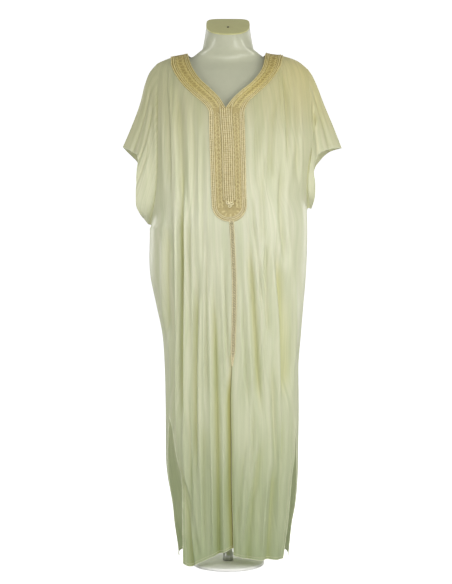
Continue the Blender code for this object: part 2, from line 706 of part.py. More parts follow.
fronts = {side: front_surface(side) for side in SIDE}
back_piece = back_surface()
sleeves = {side: sleeve_surface(side) for side in SIDE}
shared_normals([*fronts.values(), back_piece, *sleeves.values()])

for side in SIDE:
    piece = fronts[side]
    wall(f"front_{side}", piece.points, piece.normals, piece.quads, -CLOTH_WALL, 0.0, SATEEN)
wall("back", back_piece.points, back_piece.normals, back_piece.quads, -CLOTH_WALL, 0.0, SATEEN)
for side in SIDE:
    piece = sleeves[side]
    wall(f"sleeve_{side}", piece.points, piece.normals, piece.quads, -CLOTH_WALL, 0.0, SATEEN)


# ---------------------------------------------------------------- trim
def grid_quads(rows, columns, flip):
    index = np.arange(rows * columns).reshape(rows, columns)
    face = np.stack((index[:-1, :-1], index[1:, :-1], index[1:, 1:], index[:-1, 1:]), -1)
    face = face.reshape(-1, 4)
    return face[:, ::-1] if flip else face


def trim(name, points, normals, inner, thickness):
    """A wall on rows and columns of a panel's own points, moved out along its normals."""
    rows, columns = points.shape[:2]
    across, down = points[0, 1] - points[0, 0], points[1, 0] - points[0, 0]
    flip = np.dot(np.cross(down, across), normals[0, 0]) < 0
    wall(name, points.reshape(-1, 3), normals.reshape(-1, 3), grid_quads(rows, columns, flip),
         inner, inner + thickness, GOLD_TRIM)


def taken(surface, slots):
    return surface.points[slots], surface.normals[slots]


for side in SIDE:
    trim(f"neck_band_{side}", *taken(fronts[side], fronts[side].slots[0]), GAP, TRIM_WALL)

left_slots, right_slots = back_piece.slots[0], back_piece.slots[3]
back_band = np.concatenate((left_slots[::-1], right_slots[1:]))
trim("neck_band_back", *taken(back_piece, back_band), GAP, TRIM_WALL)


def across_both(rows, columns):
    """Rows of both front halves joined over the centre line."""
    left = taken(fronts["left"], fronts["left"].slots[1][rows, :columns])
    right = taken(fronts["right"], fronts["right"].slots[1][rows, :columns])
    joined = []
    for ours, theirs in zip(left, right):
        middle = (ours[:, :1] + theirs[:, :1]) / 2
        joined.append(np.concatenate((ours[:, :0:-1], middle, theirs[:, 1:]), axis=1))
    points, normals = joined
    return points, normals / np.linalg.norm(normals, axis=-1)[..., None]


panel_points, panel_normals = across_both(slice(0, ROWS_UPPER + 1), SHARE_PANEL + 1)
trim("placket_panel", panel_points, panel_normals, GAP, TRIM_WALL)
strip_points, strip_normals = across_both(slice(0, ROWS_UPPER), 2)
strip_points[-1, 0] = mix(strip_points[-1, 1], strip_points[-1, 0], 0.35)
strip_points[-1, 2] = mix(strip_points[-1, 1], strip_points[-1, 2], 0.35)
trim("placket_strip", strip_points, strip_normals, 2 * GAP + TRIM_WALL, STRIP_WALL)

braid_rows = ROWS_MIDDLE * 3 // 4 + 1
edges = []
for side in SIDE:
    slots = np.append(fronts[side].slots[1][ROWS_UPPER:-1, 0], fronts[side].slots[3][:braid_rows, 0])
    edges.append(taken(fronts[side], slots))
braid = [np.stack((edges[0][k], edges[1][k]), axis=1) for k in (0, 1)]
trim("centre_braid", *braid, -0.7 * BRAID_WALL, BRAID_WALL)


# ---------------------------------------------------------------- form and stand
FORM_SIDES = 28
NECK_RINGS = 4


def ring(half, front, back, power, height):
    """A superellipse, counter-clockwise from above, with unlike reach to front and back."""
    turn = np.linspace(0.0, 2 * np.pi, FORM_SIDES, endpoint=False)
    cosine, sine = np.cos(turn), np.sin(turn)
    reach = np.where(sine > 0, back, front)
    return np.stack((half * np.sign(cosine) * np.abs(cosine)**(2 / power),
                     reach * np.sign(sine) * np.abs(sine)**(2 / power),
                     np.full(FORM_SIDES, height)), axis=-1)


def loft(name, rings, colour):
    """A closed body through rings, with a flat face over each end."""
    mesh = bpy.data.meshes.new(name)
    shape = bmesh.new()
    corners = [[shape.verts.new(point) for point in points] for points in rings]
    for low, high in zip(corners, corners[1:]):
        for k in range(FORM_SIDES):
            after = (k + 1) % FORM_SIDES
            shape.faces.new((low[k], low[after], high[after], high[k]))
    shape.faces.new(corners[0][::-1])
    shape.faces.new(corners[-1])
    bmesh.ops.recalc_face_normals(shape, faces=shape.faces)
    shape.to_mesh(mesh)
    shape.free()
    mesh.materials.append(colour)
    mesh.shade_smooth()
    mesh.set_sharp_from_angle(angle=np.radians(40))
    made = bpy.data.objects.new(name, mesh)
    robe.objects.link(made)
    return made


def neck_top(lift):
    """The oblique oval at the top of the neck, moved up by lift along the neck."""
    oval = ring(NECK_TOP_HALF, NECK_TOP_FRONT, NECK_TOP_BACK, 2.5, 0.0)
    square = ring(NECK_TOP_HALF, NECK_TOP_FRONT, NECK_TOP_BACK, 4.5, 0.0)
    oval = np.where(oval[:, 1:2] < 0, oval, square)
    part = (oval[:, 1] + NECK_TOP_FRONT) / (NECK_TOP_FRONT + NECK_TOP_BACK)
    oval[:, 2] = mix(NECK_TOP_FRONT_Z, NECK_TOP_BACK_Z, part) + lift
    return oval


torso_rings = [ring(*(FORM[name][k] for name in ("half", "front", "back", "power", "z")))
               for k in range(len(FORM["z"]))]
top, base = neck_top(0.0), torso_rings[-1]
for step in np.linspace(0.0, 1.0, NECK_RINGS + 1)[1:]:
    between = mix(base, top, step)
    between[:, :2] *= 1 - 0.012 * np.sin(np.pi * step)
    torso_rings.append(between)
loft("form_torso", torso_rings, FORM_PLASTIC)
loft("form_neck_cap", [neck_top(GAP + 0.0001), neck_top(GAP + 0.0001 + CAP_THICK)], CAP_PLASTIC)


def cylinder(name, radius, low, high, sides, colour):
    bpy.ops.mesh.primitive_cylinder_add(vertices=sides, radius=radius, depth=high - low,
                                        location=(0.0, 0.0, (low + high) / 2))
    made = bpy.context.object
    made.name = made.data.name = name
    made.data.materials.append(colour)
    made.data.shade_smooth()
    made.data.set_sharp_from_angle(angle=np.radians(40))
    for collection in list(made.users_collection):
        collection.objects.unlink(made)
    robe.objects.link(made)
    return made


cylinder("stand_pole", POLE_RADIUS, BASE_THICK + GAP, FORM["z"][0] - GAP, 24, STEEL)
plate = cylinder("stand_base", BASE_RADIUS, 0.0, BASE_THICK, 48, WHITE_STEEL)
rounded = plate.modifiers.new("edge", "BEVEL")
rounded.width, rounded.segments, rounded.limit_method = 0.002, 2, "ANGLE"
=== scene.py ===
# %% [markdown]
# # A short-sleeved djellaba on a dress form
#
# The robe is pale green sateen, cut as two fronts, a back and two short wide sleeves, with a
# gold-beige embroidered band round the neck, a breast panel, and an openwork braid that joins
# the two fronts down to the knee. It hangs on a limbless plastic dress form on a round foot.
# Every piece here is a surface worked out with numpy: a function of two parameters on a grid,
# put into a mesh in one call. Units are metres, the floor is z = 0 and the front faces -Y.

import bpy
import numpy as np
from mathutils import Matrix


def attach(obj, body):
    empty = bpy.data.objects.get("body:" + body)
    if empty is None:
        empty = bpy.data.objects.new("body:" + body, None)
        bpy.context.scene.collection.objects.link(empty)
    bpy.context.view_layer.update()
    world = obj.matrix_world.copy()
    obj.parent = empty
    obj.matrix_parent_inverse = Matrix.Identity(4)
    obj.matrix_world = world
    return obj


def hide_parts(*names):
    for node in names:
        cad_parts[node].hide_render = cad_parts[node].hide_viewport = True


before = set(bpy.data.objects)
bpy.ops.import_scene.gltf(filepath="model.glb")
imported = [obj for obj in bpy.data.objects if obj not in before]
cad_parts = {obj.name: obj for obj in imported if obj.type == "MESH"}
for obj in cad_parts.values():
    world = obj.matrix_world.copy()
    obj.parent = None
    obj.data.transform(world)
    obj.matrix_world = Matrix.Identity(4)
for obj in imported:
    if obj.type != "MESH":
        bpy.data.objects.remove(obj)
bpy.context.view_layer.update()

# %% [markdown]
# ## The camera
# A tall narrow subject is taken from well back with a longish lens, so that the shoulders and
# the hem keep their true proportions. The camera stands level at half of the robe's height.

# %% Camera
CAMERA_PLACE = (-0.0055, -3.0, 0.750)
CAMERA_LENS = 66.8      # mm, on a 36 mm sensor along the tall side

camera = bpy.data.objects.new("camera", bpy.data.cameras.new("camera"))
camera.location = CAMERA_PLACE
camera.rotation_euler = (np.pi / 2, 0.0, 0.0)
camera.data.lens = CAMERA_LENS
camera.data.sensor_width = 36.0
bpy.context.scene.collection.objects.link(camera)
bpy.context.scene.camera = camera
print("camera at", CAMERA_PLACE)

# %% [markdown]
# ## Smooth curves through short tables
# A garment's outline is best kept as a few measured rows, as in a tailor's notebook, with a
# smooth curve through them. A cubic Hermite curve passes through every row and never
# overshoots a turning point, which a plain spline would.

# %% Interpolation helpers
def table(columns, *rows):
    """Rows of numbers as one array for each named column."""
    return {name: np.array([row[i] for row in rows], float)
            for i, name in enumerate(columns.split())}


def through(at, xs, ys):
    """Cubic Hermite curve through (xs, ys): the slope at a row is the mean of its two sides'."""
    at = np.clip(np.asarray(at, float), xs[0], xs[-1])
    steps = np.diff(xs)
    slopes = np.diff(ys) / steps
    tangents = np.concatenate((slopes[:1], (slopes[:-1] + slopes[1:]) / 2, slopes[-1:]))
    turning = np.concatenate(([False], slopes[:-1] * slopes[1:] <= 0, [False]))
    tangents = np.where(turning, 0.0, tangents)
    i = np.clip(np.searchsorted(xs, at, side="right") - 1, 0, len(xs) - 2)
    t = (at - xs[i]) / steps[i]
    return ((2 * t**3 - 3 * t**2 + 1) * ys[i] + (t**3 - 2 * t**2 + t) * steps[i] * tangents[i]
            + (3 * t**2 - 2 * t**3) * ys[i + 1] + (t**3 - t**2) * steps[i] * tangents[i + 1])


def look(rows, key, value, at):
    """The value column of a table at a place on its key column."""
    return through(at, rows[key], rows[value])


def mix(a, b, t):
    """a at t = 0, b at t = 1."""
    return a + (b - a) * t


def smooth(t):
    """Zero below 0, one above 1, and 3t^2 - 2t^3 between."""
    t = np.clip(t, 0.0, 1.0)
    return t * t * (3 - 2 * t)


# %% [markdown]
# ## The garment's outline
# The robe hangs as one tube, flattened front to back. Its outline is a table of reaches to the
# left and right at each height, and another of how far it stands out in front and behind.
# Left and right are the viewer's, so left is -X.

# %% Outline tables
SIDE = {"left": -1.0, "right": 1.0}
SHOULDER_X = {"left": 0.1970, "right": 0.2220}
ARMPIT_Z = {"left": 0.927, "right": 0.975}
SLIT_Z = 0.432
BRAID_END = 0.5528
BRAID_HALF = 0.0045
PANEL_END = 0.9355
PANEL_ROUND = 0.0445
BUST_DROP = 0.25
BLADE_DROP = 0.18
SECTION_POWER = 2.5
BACK_NECK_Z, BACK_BAND_Z = 1.395, 1.352

RIDGE = table(
    "x left right",
    (0.000, 1.4300, 1.4300), (0.060, 1.4240, 1.4240), (0.111, 1.4085, 1.4090),
    (0.145, 1.4025, 1.4045), (0.175, 1.3920, 1.3965), (0.197, 1.3815, 1.3865),
    (0.222, 1.3600, 1.3660))
ARMHOLE = table(
    "down left right depth_share",
    (0.00, 0.1970, 0.2220, 0.50), (0.16, 0.1900, 0.2235, 0.55),
    (0.35, 0.1900, 0.2245, 0.56), (0.50, 0.1900, 0.2290, 0.56),
    (0.70, 0.1915, 0.2164, 0.50), (0.85, 0.1990, 0.2120, 0.40),
    (1.00, 0.2133, 0.2180, 0.00))
BODY = table(
    "z left right seam_share",
    (0.000, 0.1310, 0.1640, 0.22), (0.050, 0.1350, 0.1690, 0.25),
    (0.118, 0.1468, 0.1770, 0.29), (0.163, 0.1520, 0.1856, 0.31),
    (0.251, 0.1680, 0.1930, 0.36), (0.318, 0.1720, 0.1940, 0.41),
    (0.432, 0.1720, 0.1955, 0.50), (0.540, 0.1725, 0.1945, 0.44),
    (0.628, 0.1800, 0.2010, 0.36), (0.717, 0.1985, 0.2085, 0.26),
    (0.800, 0.2150, 0.2155, 0.15), (0.916, 0.2160, 0.2190, 0.02),
    (0.975, 0.2133, 0.2180, 0.00))
FRONT_EDGE = table(
    "z left right share_left share_right",
    (0.020, 0.1205, 0.1470, 0.74, 0.66), (0.140, 0.1240, 0.1630, 0.72, 0.62),
    (0.245, 0.1290, 0.1720, 0.70, 0.58), (0.330, 0.1430, 0.1810, 0.62, 0.55),
    (0.432, 0.1590, 0.1810, 0.50, 0.50))
DEPTH = table(
    "z front back middle",
    (0.020, 0.111, 0.104, 0.0145), (0.110, 0.113, 0.105, 0.0134),
    (0.230, 0.116, 0.106, 0.0100), (0.360, 0.120, 0.106, 0.0093),
    (0.460, 0.122, 0.106, 0.0080), (0.538, 0.124, 0.107, 0.0105),
    (0.615, 0.126, 0.111, 0.0140), (0.689, 0.128, 0.114, 0.0160),
    (0.766, 0.131, 0.117, 0.0165), (0.843, 0.134, 0.116, 0.0140),
    (0.937, 0.137, 0.110, 0.0090), (1.000, 0.137, 0.108, 0.0030),
    (1.150, 0.133, 0.112, -0.0010), (1.240, 0.130, 0.115, -0.0064),
    (1.430, 0.128, 0.112, -0.0064))
HEM = table(
    "share left right back",
    (0.00, 0.063, 0.046, 0.028), (0.20, 0.050, 0.037, 0.027),
    (0.55, 0.027, 0.034, 0.030), (0.85, 0.012, 0.031, 0.028),
    (1.00, 0.019, 0.031, 0.027))
print("robe from", HEM["left"].min(), "to", RIDGE["left"].max())

# %% [markdown]
# ## Folds
# Sateen hangs in long soft vertical folds that start where the cloth is held - at the neck
# band, the shoulders and the breast panel - and wander as they run down. Each row below is one
# fold: where it starts, passes and ends, how deep it is, its half width, and how much wider it
# is on its right than on its left, which makes one flank crisp. None is like its neighbour.
# The deep ones are the same as the solid's; the fine ones give the surface its life, and the
# back and sides get folds of the same kind.

# %% Fold tables
FOLD_COLUMNS = "z_top x_top z_middle x_middle z_end x_end depth width lean"
FRONT_FOLDS = table(
    FOLD_COLUMNS,
    # the long deep ones
    (1.33, -0.140, 1.13, -0.130, 0.96, -0.122, 0.0070, 0.0098, 0.35),
    (1.10, -0.125, 0.75, -0.123, 0.34, -0.125, 0.0170, 0.0070, -0.30),
    (0.97, -0.163, 0.80, -0.166, 0.60, -0.163, 0.0090, 0.0107, 0.45),
    (0.86, -0.079, 0.50, -0.089, 0.20, -0.087, 0.0105, 0.0094, -0.40),
    (0.86, -0.043, 0.50, -0.033, 0.02, -0.026, 0.0120, 0.0086, 0.15),
    (0.95, 0.055, 0.70, 0.071, 0.38, 0.092, 0.0115, 0.0090, -0.20),
    (0.90, 0.124, 0.69, 0.145, 0.42, 0.151, 0.0130, 0.0123, 0.40),
    (0.32, -0.137, 0.20, -0.115, 0.02, -0.098, 0.0110, 0.0115, -0.45),
    (0.40, 0.095, 0.24, 0.075, 0.02, 0.052, 0.0090, 0.0115, 0.30),
    (0.32, 0.128, 0.18, 0.120, 0.02, 0.110, 0.0100, 0.0107, -0.10),
    # shallow ones between them
    (1.26, -0.098, 1.10, -0.093, 0.90, -0.094, 0.0043, 0.0076, 0.25),
    (1.30, -0.165, 1.12, -0.158, 1.00, -0.156, 0.0051, 0.0068, -0.35),
    (1.20, -0.070, 1.05, -0.071, 0.78, -0.068, 0.0040, 0.0059, 0.35),
    (1.05, -0.104, 0.80, -0.104, 0.52, -0.106, 0.0057, 0.0059, -0.30),
    (0.95, -0.058, 0.70, -0.060, 0.42, -0.059, 0.0054, 0.0051, 0.45),
    (0.99, -0.145, 0.72, -0.143, 0.30, -0.147, 0.0065, 0.0059, -0.40),
    (0.88, -0.012, 0.69, -0.007, 0.52, 0.003, 0.0051, 0.0051, 0.15),
    (0.80, -0.025, 0.62, -0.018, 0.40, -0.010, 0.0043, 0.0051, -0.20),
    (0.46, -0.066, 0.30, -0.066, 0.03, -0.062, 0.0065, 0.0068, 0.40),
    (0.34, -0.050, 0.20, -0.046, 0.03, -0.044, 0.0043, 0.0051, -0.45),
    (0.30, -0.010, 0.17, -0.006, 0.06, -0.004, 0.0043, 0.0051, 0.30),
    (0.52, -0.108, 0.36, -0.107, 0.12, -0.096, 0.0065, 0.0056, -0.10),
    (0.26, -0.118, 0.14, -0.098, 0.03, -0.078, 0.0051, 0.0051, 0.25),
    (1.30, 0.128, 1.18, 0.118, 1.02, 0.114, 0.0051, 0.0076, -0.35),
    (1.36, 0.150, 1.24, 0.158, 1.08, 0.163, 0.0065, 0.0085, 0.35),
    (1.33, 0.182, 1.20, 0.186, 1.02, 0.188, 0.0057, 0.0076, -0.30),
    (1.24, 0.078, 1.14, 0.074, 1.00, 0.078, 0.0040, 0.0068, 0.45),
    (1.16, 0.098, 1.02, 0.092, 0.84, 0.098, 0.0043, 0.0059, -0.40),
    (1.12, 0.145, 0.98, 0.140, 0.80, 0.158, 0.0057, 0.0076, 0.15),
    (1.02, 0.060, 0.86, 0.076, 0.66, 0.099, 0.0051, 0.0051, -0.20),
    (0.93, 0.104, 0.78, 0.099, 0.60, 0.110, 0.0060, 0.0068, 0.40),
    (0.82, 0.172, 0.64, 0.172, 0.46, 0.170, 0.0065, 0.0076, -0.45),
    (0.80, 0.036, 0.60, 0.044, 0.40, 0.058, 0.0046, 0.0059, 0.30),
    (0.60, 0.120, 0.44, 0.124, 0.25, 0.131, 0.0065, 0.0068, -0.10),
    (0.54, 0.066, 0.40, 0.068, 0.22, 0.060, 0.0046, 0.0059, 0.25),
    (0.38, 0.052, 0.24, 0.036, 0.08, 0.028, 0.0046, 0.0059, -0.35),
    (0.46, 0.148, 0.28, 0.142, 0.08, 0.136, 0.0065, 0.0048, 0.35),
    (0.26, 0.098, 0.15, 0.088, 0.03, 0.083, 0.0057, 0.0059, -0.30),
    (0.24, 0.064, 0.14, 0.052, 0.03, 0.038, 0.0043, 0.0051, 0.45),
    (0.20, 0.030, 0.12, 0.027, 0.03, 0.026, 0.0024, 0.0060, -0.40),
    # gathers below the band at the right shoulder and the left
    (1.37, 0.148, 1.34, 0.150, 1.29, 0.155, 0.0024, 0.0040, 0.15),
    (1.37, 0.160, 1.34, 0.163, 1.28, 0.170, 0.0026, 0.0045, -0.20),
    (1.35, 0.136, 1.31, 0.139, 1.24, 0.142, 0.0022, 0.0042, 0.40),
    (1.37, -0.165, 1.33, -0.166, 1.27, -0.166, 0.0022, 0.0045, -0.45),
    (1.34, -0.150, 1.30, -0.152, 1.22, -0.150, 0.0024, 0.0042, 0.30))
BACK_FOLDS = table(
    FOLD_COLUMNS,
    (1.20, -0.075, 0.80, -0.066, 0.02, -0.052, 0.0120, 0.0123, 0.35),
    (1.16, 0.062, 0.75, 0.072, 0.02, 0.061, 0.0130, 0.0115, -0.30),
    (1.02, -0.012, 0.60, 0.004, 0.02, 0.010, 0.0110, 0.0115, 0.45),
    (1.05, -0.140, 0.70, -0.130, 0.02, -0.102, 0.0140, 0.0107, -0.40),
    (1.08, 0.142, 0.66, 0.135, 0.02, 0.118, 0.0130, 0.0115, 0.15),
    (1.32, -0.110, 1.14, -0.104, 0.86, -0.100, 0.0051, 0.0076, -0.20),
    (1.33, 0.112, 1.12, 0.105, 0.82, 0.104, 0.0057, 0.0076, 0.40),
    (1.30, -0.045, 1.12, -0.040, 0.84, -0.036, 0.0043, 0.0068, -0.45),
    (1.29, 0.028, 1.08, 0.034, 0.80, 0.036, 0.0048, 0.0068, 0.30),
    (1.31, 0.165, 1.12, 0.172, 0.84, 0.176, 0.0065, 0.0085, -0.10),
    (1.28, -0.158, 1.12, -0.162, 0.84, -0.172, 0.0060, 0.0085, 0.25),
    (0.92, -0.103, 0.62, -0.096, 0.20, -0.082, 0.0065, 0.0064, -0.35),
    (0.88, -0.032, 0.54, -0.028, 0.12, -0.024, 0.0060, 0.0064, 0.35),
    (0.84, 0.036, 0.50, 0.040, 0.06, 0.034, 0.0057, 0.0064, -0.30),
    (0.90, 0.104, 0.56, 0.106, 0.10, 0.092, 0.0066, 0.0068, 0.45),
    (0.74, -0.160, 0.50, -0.152, 0.22, -0.130, 0.0065, 0.0056, -0.40),
    (0.76, 0.168, 0.52, 0.164, 0.20, 0.146, 0.0065, 0.0056, 0.15),
    (0.34, -0.070, 0.20, -0.072, 0.03, -0.074, 0.0057, 0.0059, -0.20),
    (0.30, 0.078, 0.18, 0.082, 0.03, 0.080, 0.0057, 0.0059, 0.40),
    (0.26, 0.022, 0.16, 0.022, 0.03, 0.026, 0.0051, 0.0059, -0.45))
print("folds:", len(FRONT_FOLDS["depth"]), "in front,", len(BACK_FOLDS["depth"]), "behind")

# %% [markdown]
# ## The draped surface
# Seen from above, the robe is a superellipse: rounder than a box, fuller than an ellipse. A
# point on it is named by its height and by its share of the way from the centre line (0) to
# the seam or slit at the side (1). Near the shoulder ridge the depth shrinks to nothing, so
# that the front turns over the shoulder into the back.

# %% Draped surface
CENTRE_ROLL = {"left": (0.020, 0.0135), "right": (0.009, 0.0045)}    # depth and half width
CLOSED_GAP, FREE_GAP = 0.00015, 0.0006      # half the gap under the panel, and more below the braid
EDGE_WAVE = 0.0022      # how far the slit's free edge waves in and out


def ridge_z(side, x):
    """Height of the shoulder's ridge at a distance from the middle."""
    return look(RIDGE, "x", side, np.abs(x))


SHOULDER_Z = {side: float(ridge_z(side, SHOULDER_X[side])) for side in SIDE}


def rounding(drop, fullest):
    """Share of the full depth: (1 - (1 - t)^1.6)^0.6, with t the drop over the fullest drop."""
    t = np.clip(drop / fullest, 0.0, 1.0)
    return (1 - (1 - t)**1.6)**0.6


def ring_middle(z):
    """Middle of the whole ring, half way between its two sides."""
    return (look(BODY, "z", "right", z) - look(BODY, "z", "left", z)) / 2


def centre_front(z):
    """Where the centre front line runs, which sways a little."""
    return look(DEPTH, "z", "middle", z)


def middle_of(face, z):
    """The line that the left and right halves of the front or of the back meet on."""
    return centre_front(z) if face == "front" else ring_middle(z)


def edge_of(side, face, z):
    """Armhole, seam or slit edge: its reach from the middle, and its share of the depth."""
    down = np.clip((SHOULDER_Z[side] - z) / (SHOULDER_Z[side] - ARMPIT_Z[side]), 0, 1)
    reach = look(ARMHOLE, "down", side, down)
    share = look(ARMHOLE, "down", "depth_share", down)
    wide = look(BODY, "z", side, z)
    swing = look(BODY, "z", "seam_share", z)
    above = z >= ARMPIT_Z[side]
    if face == "back":
        return np.where(above, reach, wide), np.where(above, share, -swing)
    centre = SIDE[side] * ring_middle(z)
    seam = centre + (wide - centre) * (1 - swing**SECTION_POWER)**(1 / SECTION_POWER)
    free = smooth((SLIT_Z - z) / 0.05)
    reach = np.where(above, reach, mix(seam, look(FRONT_EDGE, "z", side, z), free))
    own_share = look(FRONT_EDGE, "z", "share_" + side, z)
    return reach, np.where(above, share, mix(swing, own_share, free))


def half_gap(z):
    """Half of the opening between the fronts: the braid's, or a hair where they meet."""
    braided = smooth((PANEL_END + 0.0395 - z) / 0.030) * smooth((z - BRAID_END + 0.010) / 0.055)
    return mix(CLOSED_GAP, BRAID_HALF + 0.0002, braided) + FREE_GAP * smooth((BRAID_END - z) / 0.030)


def body(side, face, share, z):
    """Superellipse section: across = sin(a)^(2/p), along = cos(a)^(2/p), a = share of its end."""
    sign, power = SIDE[side], SECTION_POWER
    reach, left_over = edge_of(side, face, z)
    angle_end = np.arccos(np.sign(left_over) * np.abs(left_over)**(power / 2))
    angle = share * angle_end
    across = np.sin(angle)**(2 / power)
    along = np.cos(angle)
    along = np.sign(along) * np.abs(along)**(2 / power)
    middle = middle_of(face, z)
    if face == "front":
        part = across / np.sin(angle_end)**(2 / power)
        x = middle + sign * ((reach - sign * middle) * part + half_gap(z) * (1 - part))
        y = -look(DEPTH, "z", "front", z) * along * rounding(ridge_z(side, x) - z, BUST_DROP)
    else:
        across_end = np.where(left_over > 0, np.sin(angle_end)**(2 / power), 1.0)
        x = middle + sign * (reach - sign * middle) * across / across_end
        back = look(DEPTH, "z", "back", z) * rounding(ridge_z(side, x) - z, BLADE_DROP)
        y = np.where(along > 0, back, look(DEPTH, "z", "front", z)) * along
    return np.stack((x, y, z), axis=-1), angle


def fold_depth(folds, x, z):
    """Sum of folds: exp(-q^2) for the trough, less two low ridges at q = +-1.9 beside it.

    q is the distance from the fold's line over its width, which the lean makes unequal."""
    total = np.zeros(x.shape)
    for k in range(len(folds["depth"])):
        top, middle, end = (folds[name][k] for name in ("z_top", "z_middle", "z_end"))
        line = through(z, np.array([end, middle, top]),
                       np.array([folds["x_end"][k], folds["x_middle"][k], folds["x_top"][k]]))
        off = x - line
        off /= folds["width"][k] * (1 + folds["lean"][k] * np.sign(off))
        shape = np.exp(-off**2) - 0.35 * np.exp(-1.5 * (np.abs(off) - 1.9)**2)
        begin = smooth((top - z) / (0.3 * (top - end)))
        finish = 1.0 if end < 0.025 else smooth((z - end) / (0.25 * (top - end)))
        total += folds["depth"][k] * shape * begin * finish
    return total


def pressed(side, face, share, z):
    """Points of the robe, its folds pressed in along the section's own normal, and their depth."""
    share, z = np.broadcast_arrays(np.asarray(share, float), np.asarray(z, float))
    point, angle = body(side, face, share, z)
    held = smooth((1 - share) / 0.16)
    free = smooth((SLIT_Z - z) / 0.08)
    folds = FRONT_FOLDS if face == "front" else BACK_FOLDS
    depth = fold_depth(folds, point[..., 0], z) * mix(held, 1.0, free * 0.6)
    facing = 1.0 if face == "front" else -1.0
    inward = np.stack((-SIDE[side] * np.sin(angle), facing * np.cos(angle), np.zeros_like(z)), -1)
    point = point + inward * depth[..., None]
    if face == "front":
        deep, wide = CENTRE_ROLL[side]
        edge = np.abs(point[..., 0] - centre_front(z))
        roll = deep * np.exp(-(edge / wide)**2) * smooth((BRAID_END + 0.02 - z) / 0.12)
        wave = np.sin(z * 2 * np.pi / 0.061) + 0.6 * np.sin(z * 2 * np.pi / 0.037 + 1.0)
        point[..., 1] += roll + EDGE_WAVE * wave * smooth((share - 0.90) / 0.10) * free
        depth = depth + roll
    return point, depth


def draped(side, face, share, z):
    """The points alone."""
    return pressed(side, face, share, z)[0]


# %% [markdown]
# ## From a grid of points to a mesh
# `foreach_set` writes whole arrays into Blender at once, which is much faster than one vertex
# at a time. Each grid also gets a UV map in metres, so that a weave has the right scale on
# every piece, and float attributes that say how far a point is from each finished edge. The
# stitching is drawn from those.

# %% Mesh helpers
robe = bpy.data.collections.new("djellaba_robe")
bpy.context.scene.collection.children.link(robe)


def grid_faces(rows, columns, closed=False):
    """Quads between neighbouring rows and columns; closed joins the last column to the first."""
    index = np.arange(rows * columns).reshape(rows, columns)
    if closed:
        index = np.concatenate((index, index[:, :1]), axis=1)
    return np.stack((index[:-1, :-1], index[1:, :-1], index[1:, 1:], index[:-1, 1:]), -1).reshape(-1, 4)


def put_mesh(name, points, faces, uv=None, attributes=None):
    """One object from an array of points (n, 3) and one of quads (m, 4), at the origin."""
    mesh = bpy.data.meshes.new(name)
    mesh.vertices.add(len(points))
    mesh.vertices.foreach_set("co", points.astype(np.float32).ravel())
    mesh.loops.add(faces.size)
    mesh.loops.foreach_set("vertex_index", faces.astype(np.int32).ravel())
    mesh.polygons.add(len(faces))
    mesh.polygons.foreach_set("loop_start", np.arange(0, faces.size, 4, dtype=np.int32))
    mesh.polygons.foreach_set("loop_total", np.full(len(faces), 4, dtype=np.int32))
    mesh.update(calc_edges=True)
    mesh.validate()
    if uv is not None:
        layer = mesh.uv_layers.new(name="cut")
        layer.data.foreach_set("uv", uv[faces.ravel()].astype(np.float32).ravel())
    for key, values in (attributes or {}).items():
        layer = mesh.attributes.new(key, "FLOAT", "POINT")
        layer.data.foreach_set("value", values.astype(np.float32).ravel())
    mesh.shade_smooth()
    made = bpy.data.objects.new(name, mesh)
    robe.objects.link(made)
    return made


def ring_mesh(name, rings):
    """Closed rings of points as one object; listed upwards, turning from +X to +Y, they face out."""
    faces = grid_faces(*rings.shape[:2], closed=True)
    return put_mesh(name, rings.reshape(-1, 3), faces[:, ::-1])


def lengths(points, axis):
    """Length along a grid or a path from its first row or column, in metres."""
    step = np.linalg.norm(np.diff(points, axis=axis), axis=-1)
    start = np.zeros_like(np.take(step, [0], axis=axis))
    return np.concatenate((start, np.cumsum(step, axis=axis)), axis=axis)


def grid_normals(points):
    """Unit normals: down the rows crossed with across the columns."""
    down, across = np.gradient(points, axis=0), np.gradient(points, axis=1)
    normals = np.cross(down, across)
    return normals / np.maximum(np.linalg.norm(normals, axis=-1), 1e-12)[..., None]


def faced(points, outward):
    """Whether the grid's own normals point the way that the outward vectors do."""
    return (grid_normals(points) * outward).sum() > 0


def cloth(name, points, outward, marks=None, closed=False, thick=0.0):
    """A grid as a thin cloth, turned to face outwards; any thickness goes on its inside."""
    rows, columns = points.shape[:2]
    faces = grid_faces(rows, columns, closed)
    if not faced(points, outward):
        faces = faces[:, ::-1]
    uv = np.stack((lengths(points, 1), -lengths(points, 0)), axis=-1).reshape(-1, 2)
    made = put_mesh(name, points.reshape(-1, 3), faces, uv, marks)
    if thick:
        solid = made.modifiers.new("thickness", "SOLIDIFY")
        solid.thickness = thick
        solid.offset = -1.0
    return made


# %% [markdown]
# ## The neckline
# The neck is a wide V. The band that finishes it is as wide as three fingers, and both of its
# edges are needed again and again: for the cloth's own edge, the band and its cords.

# %% Neckline
NECKLINE = table(
    "along left_in_x left_in_z left_out_x left_out_z right_in_x right_in_z right_out_x right_out_z",
    (0.00, -0.0064, 1.2400, -0.0510, 1.2320, -0.0064, 1.2400, 0.0430, 1.2320),
    (0.20, -0.0230, 1.2680, -0.0650, 1.2510, 0.0110, 1.2640, 0.0570, 1.2590),
    (0.42, -0.0480, 1.2950, -0.0950, 1.2790, 0.0330, 1.2860, 0.0850, 1.2870),
    (0.64, -0.0780, 1.3270, -0.1280, 1.3160, 0.0650, 1.3150, 0.1160, 1.3210),
    (0.84, -0.1000, 1.3680, -0.1530, 1.3620, 0.0920, 1.3560, 0.1420, 1.3640),
    (1.00, -0.1110, 1.4085, -0.1580, 1.3985, 0.1040, 1.4105, 0.1520, 1.4030))
PANEL_SIDES = table(
    "z left right",
    (0.9000, -0.0390, 0.0560), (0.9800, -0.0430, 0.0495), (1.0800, -0.0470, 0.0470),
    (1.1700, -0.0500, 0.0440), (1.2320, -0.0510, 0.0430))


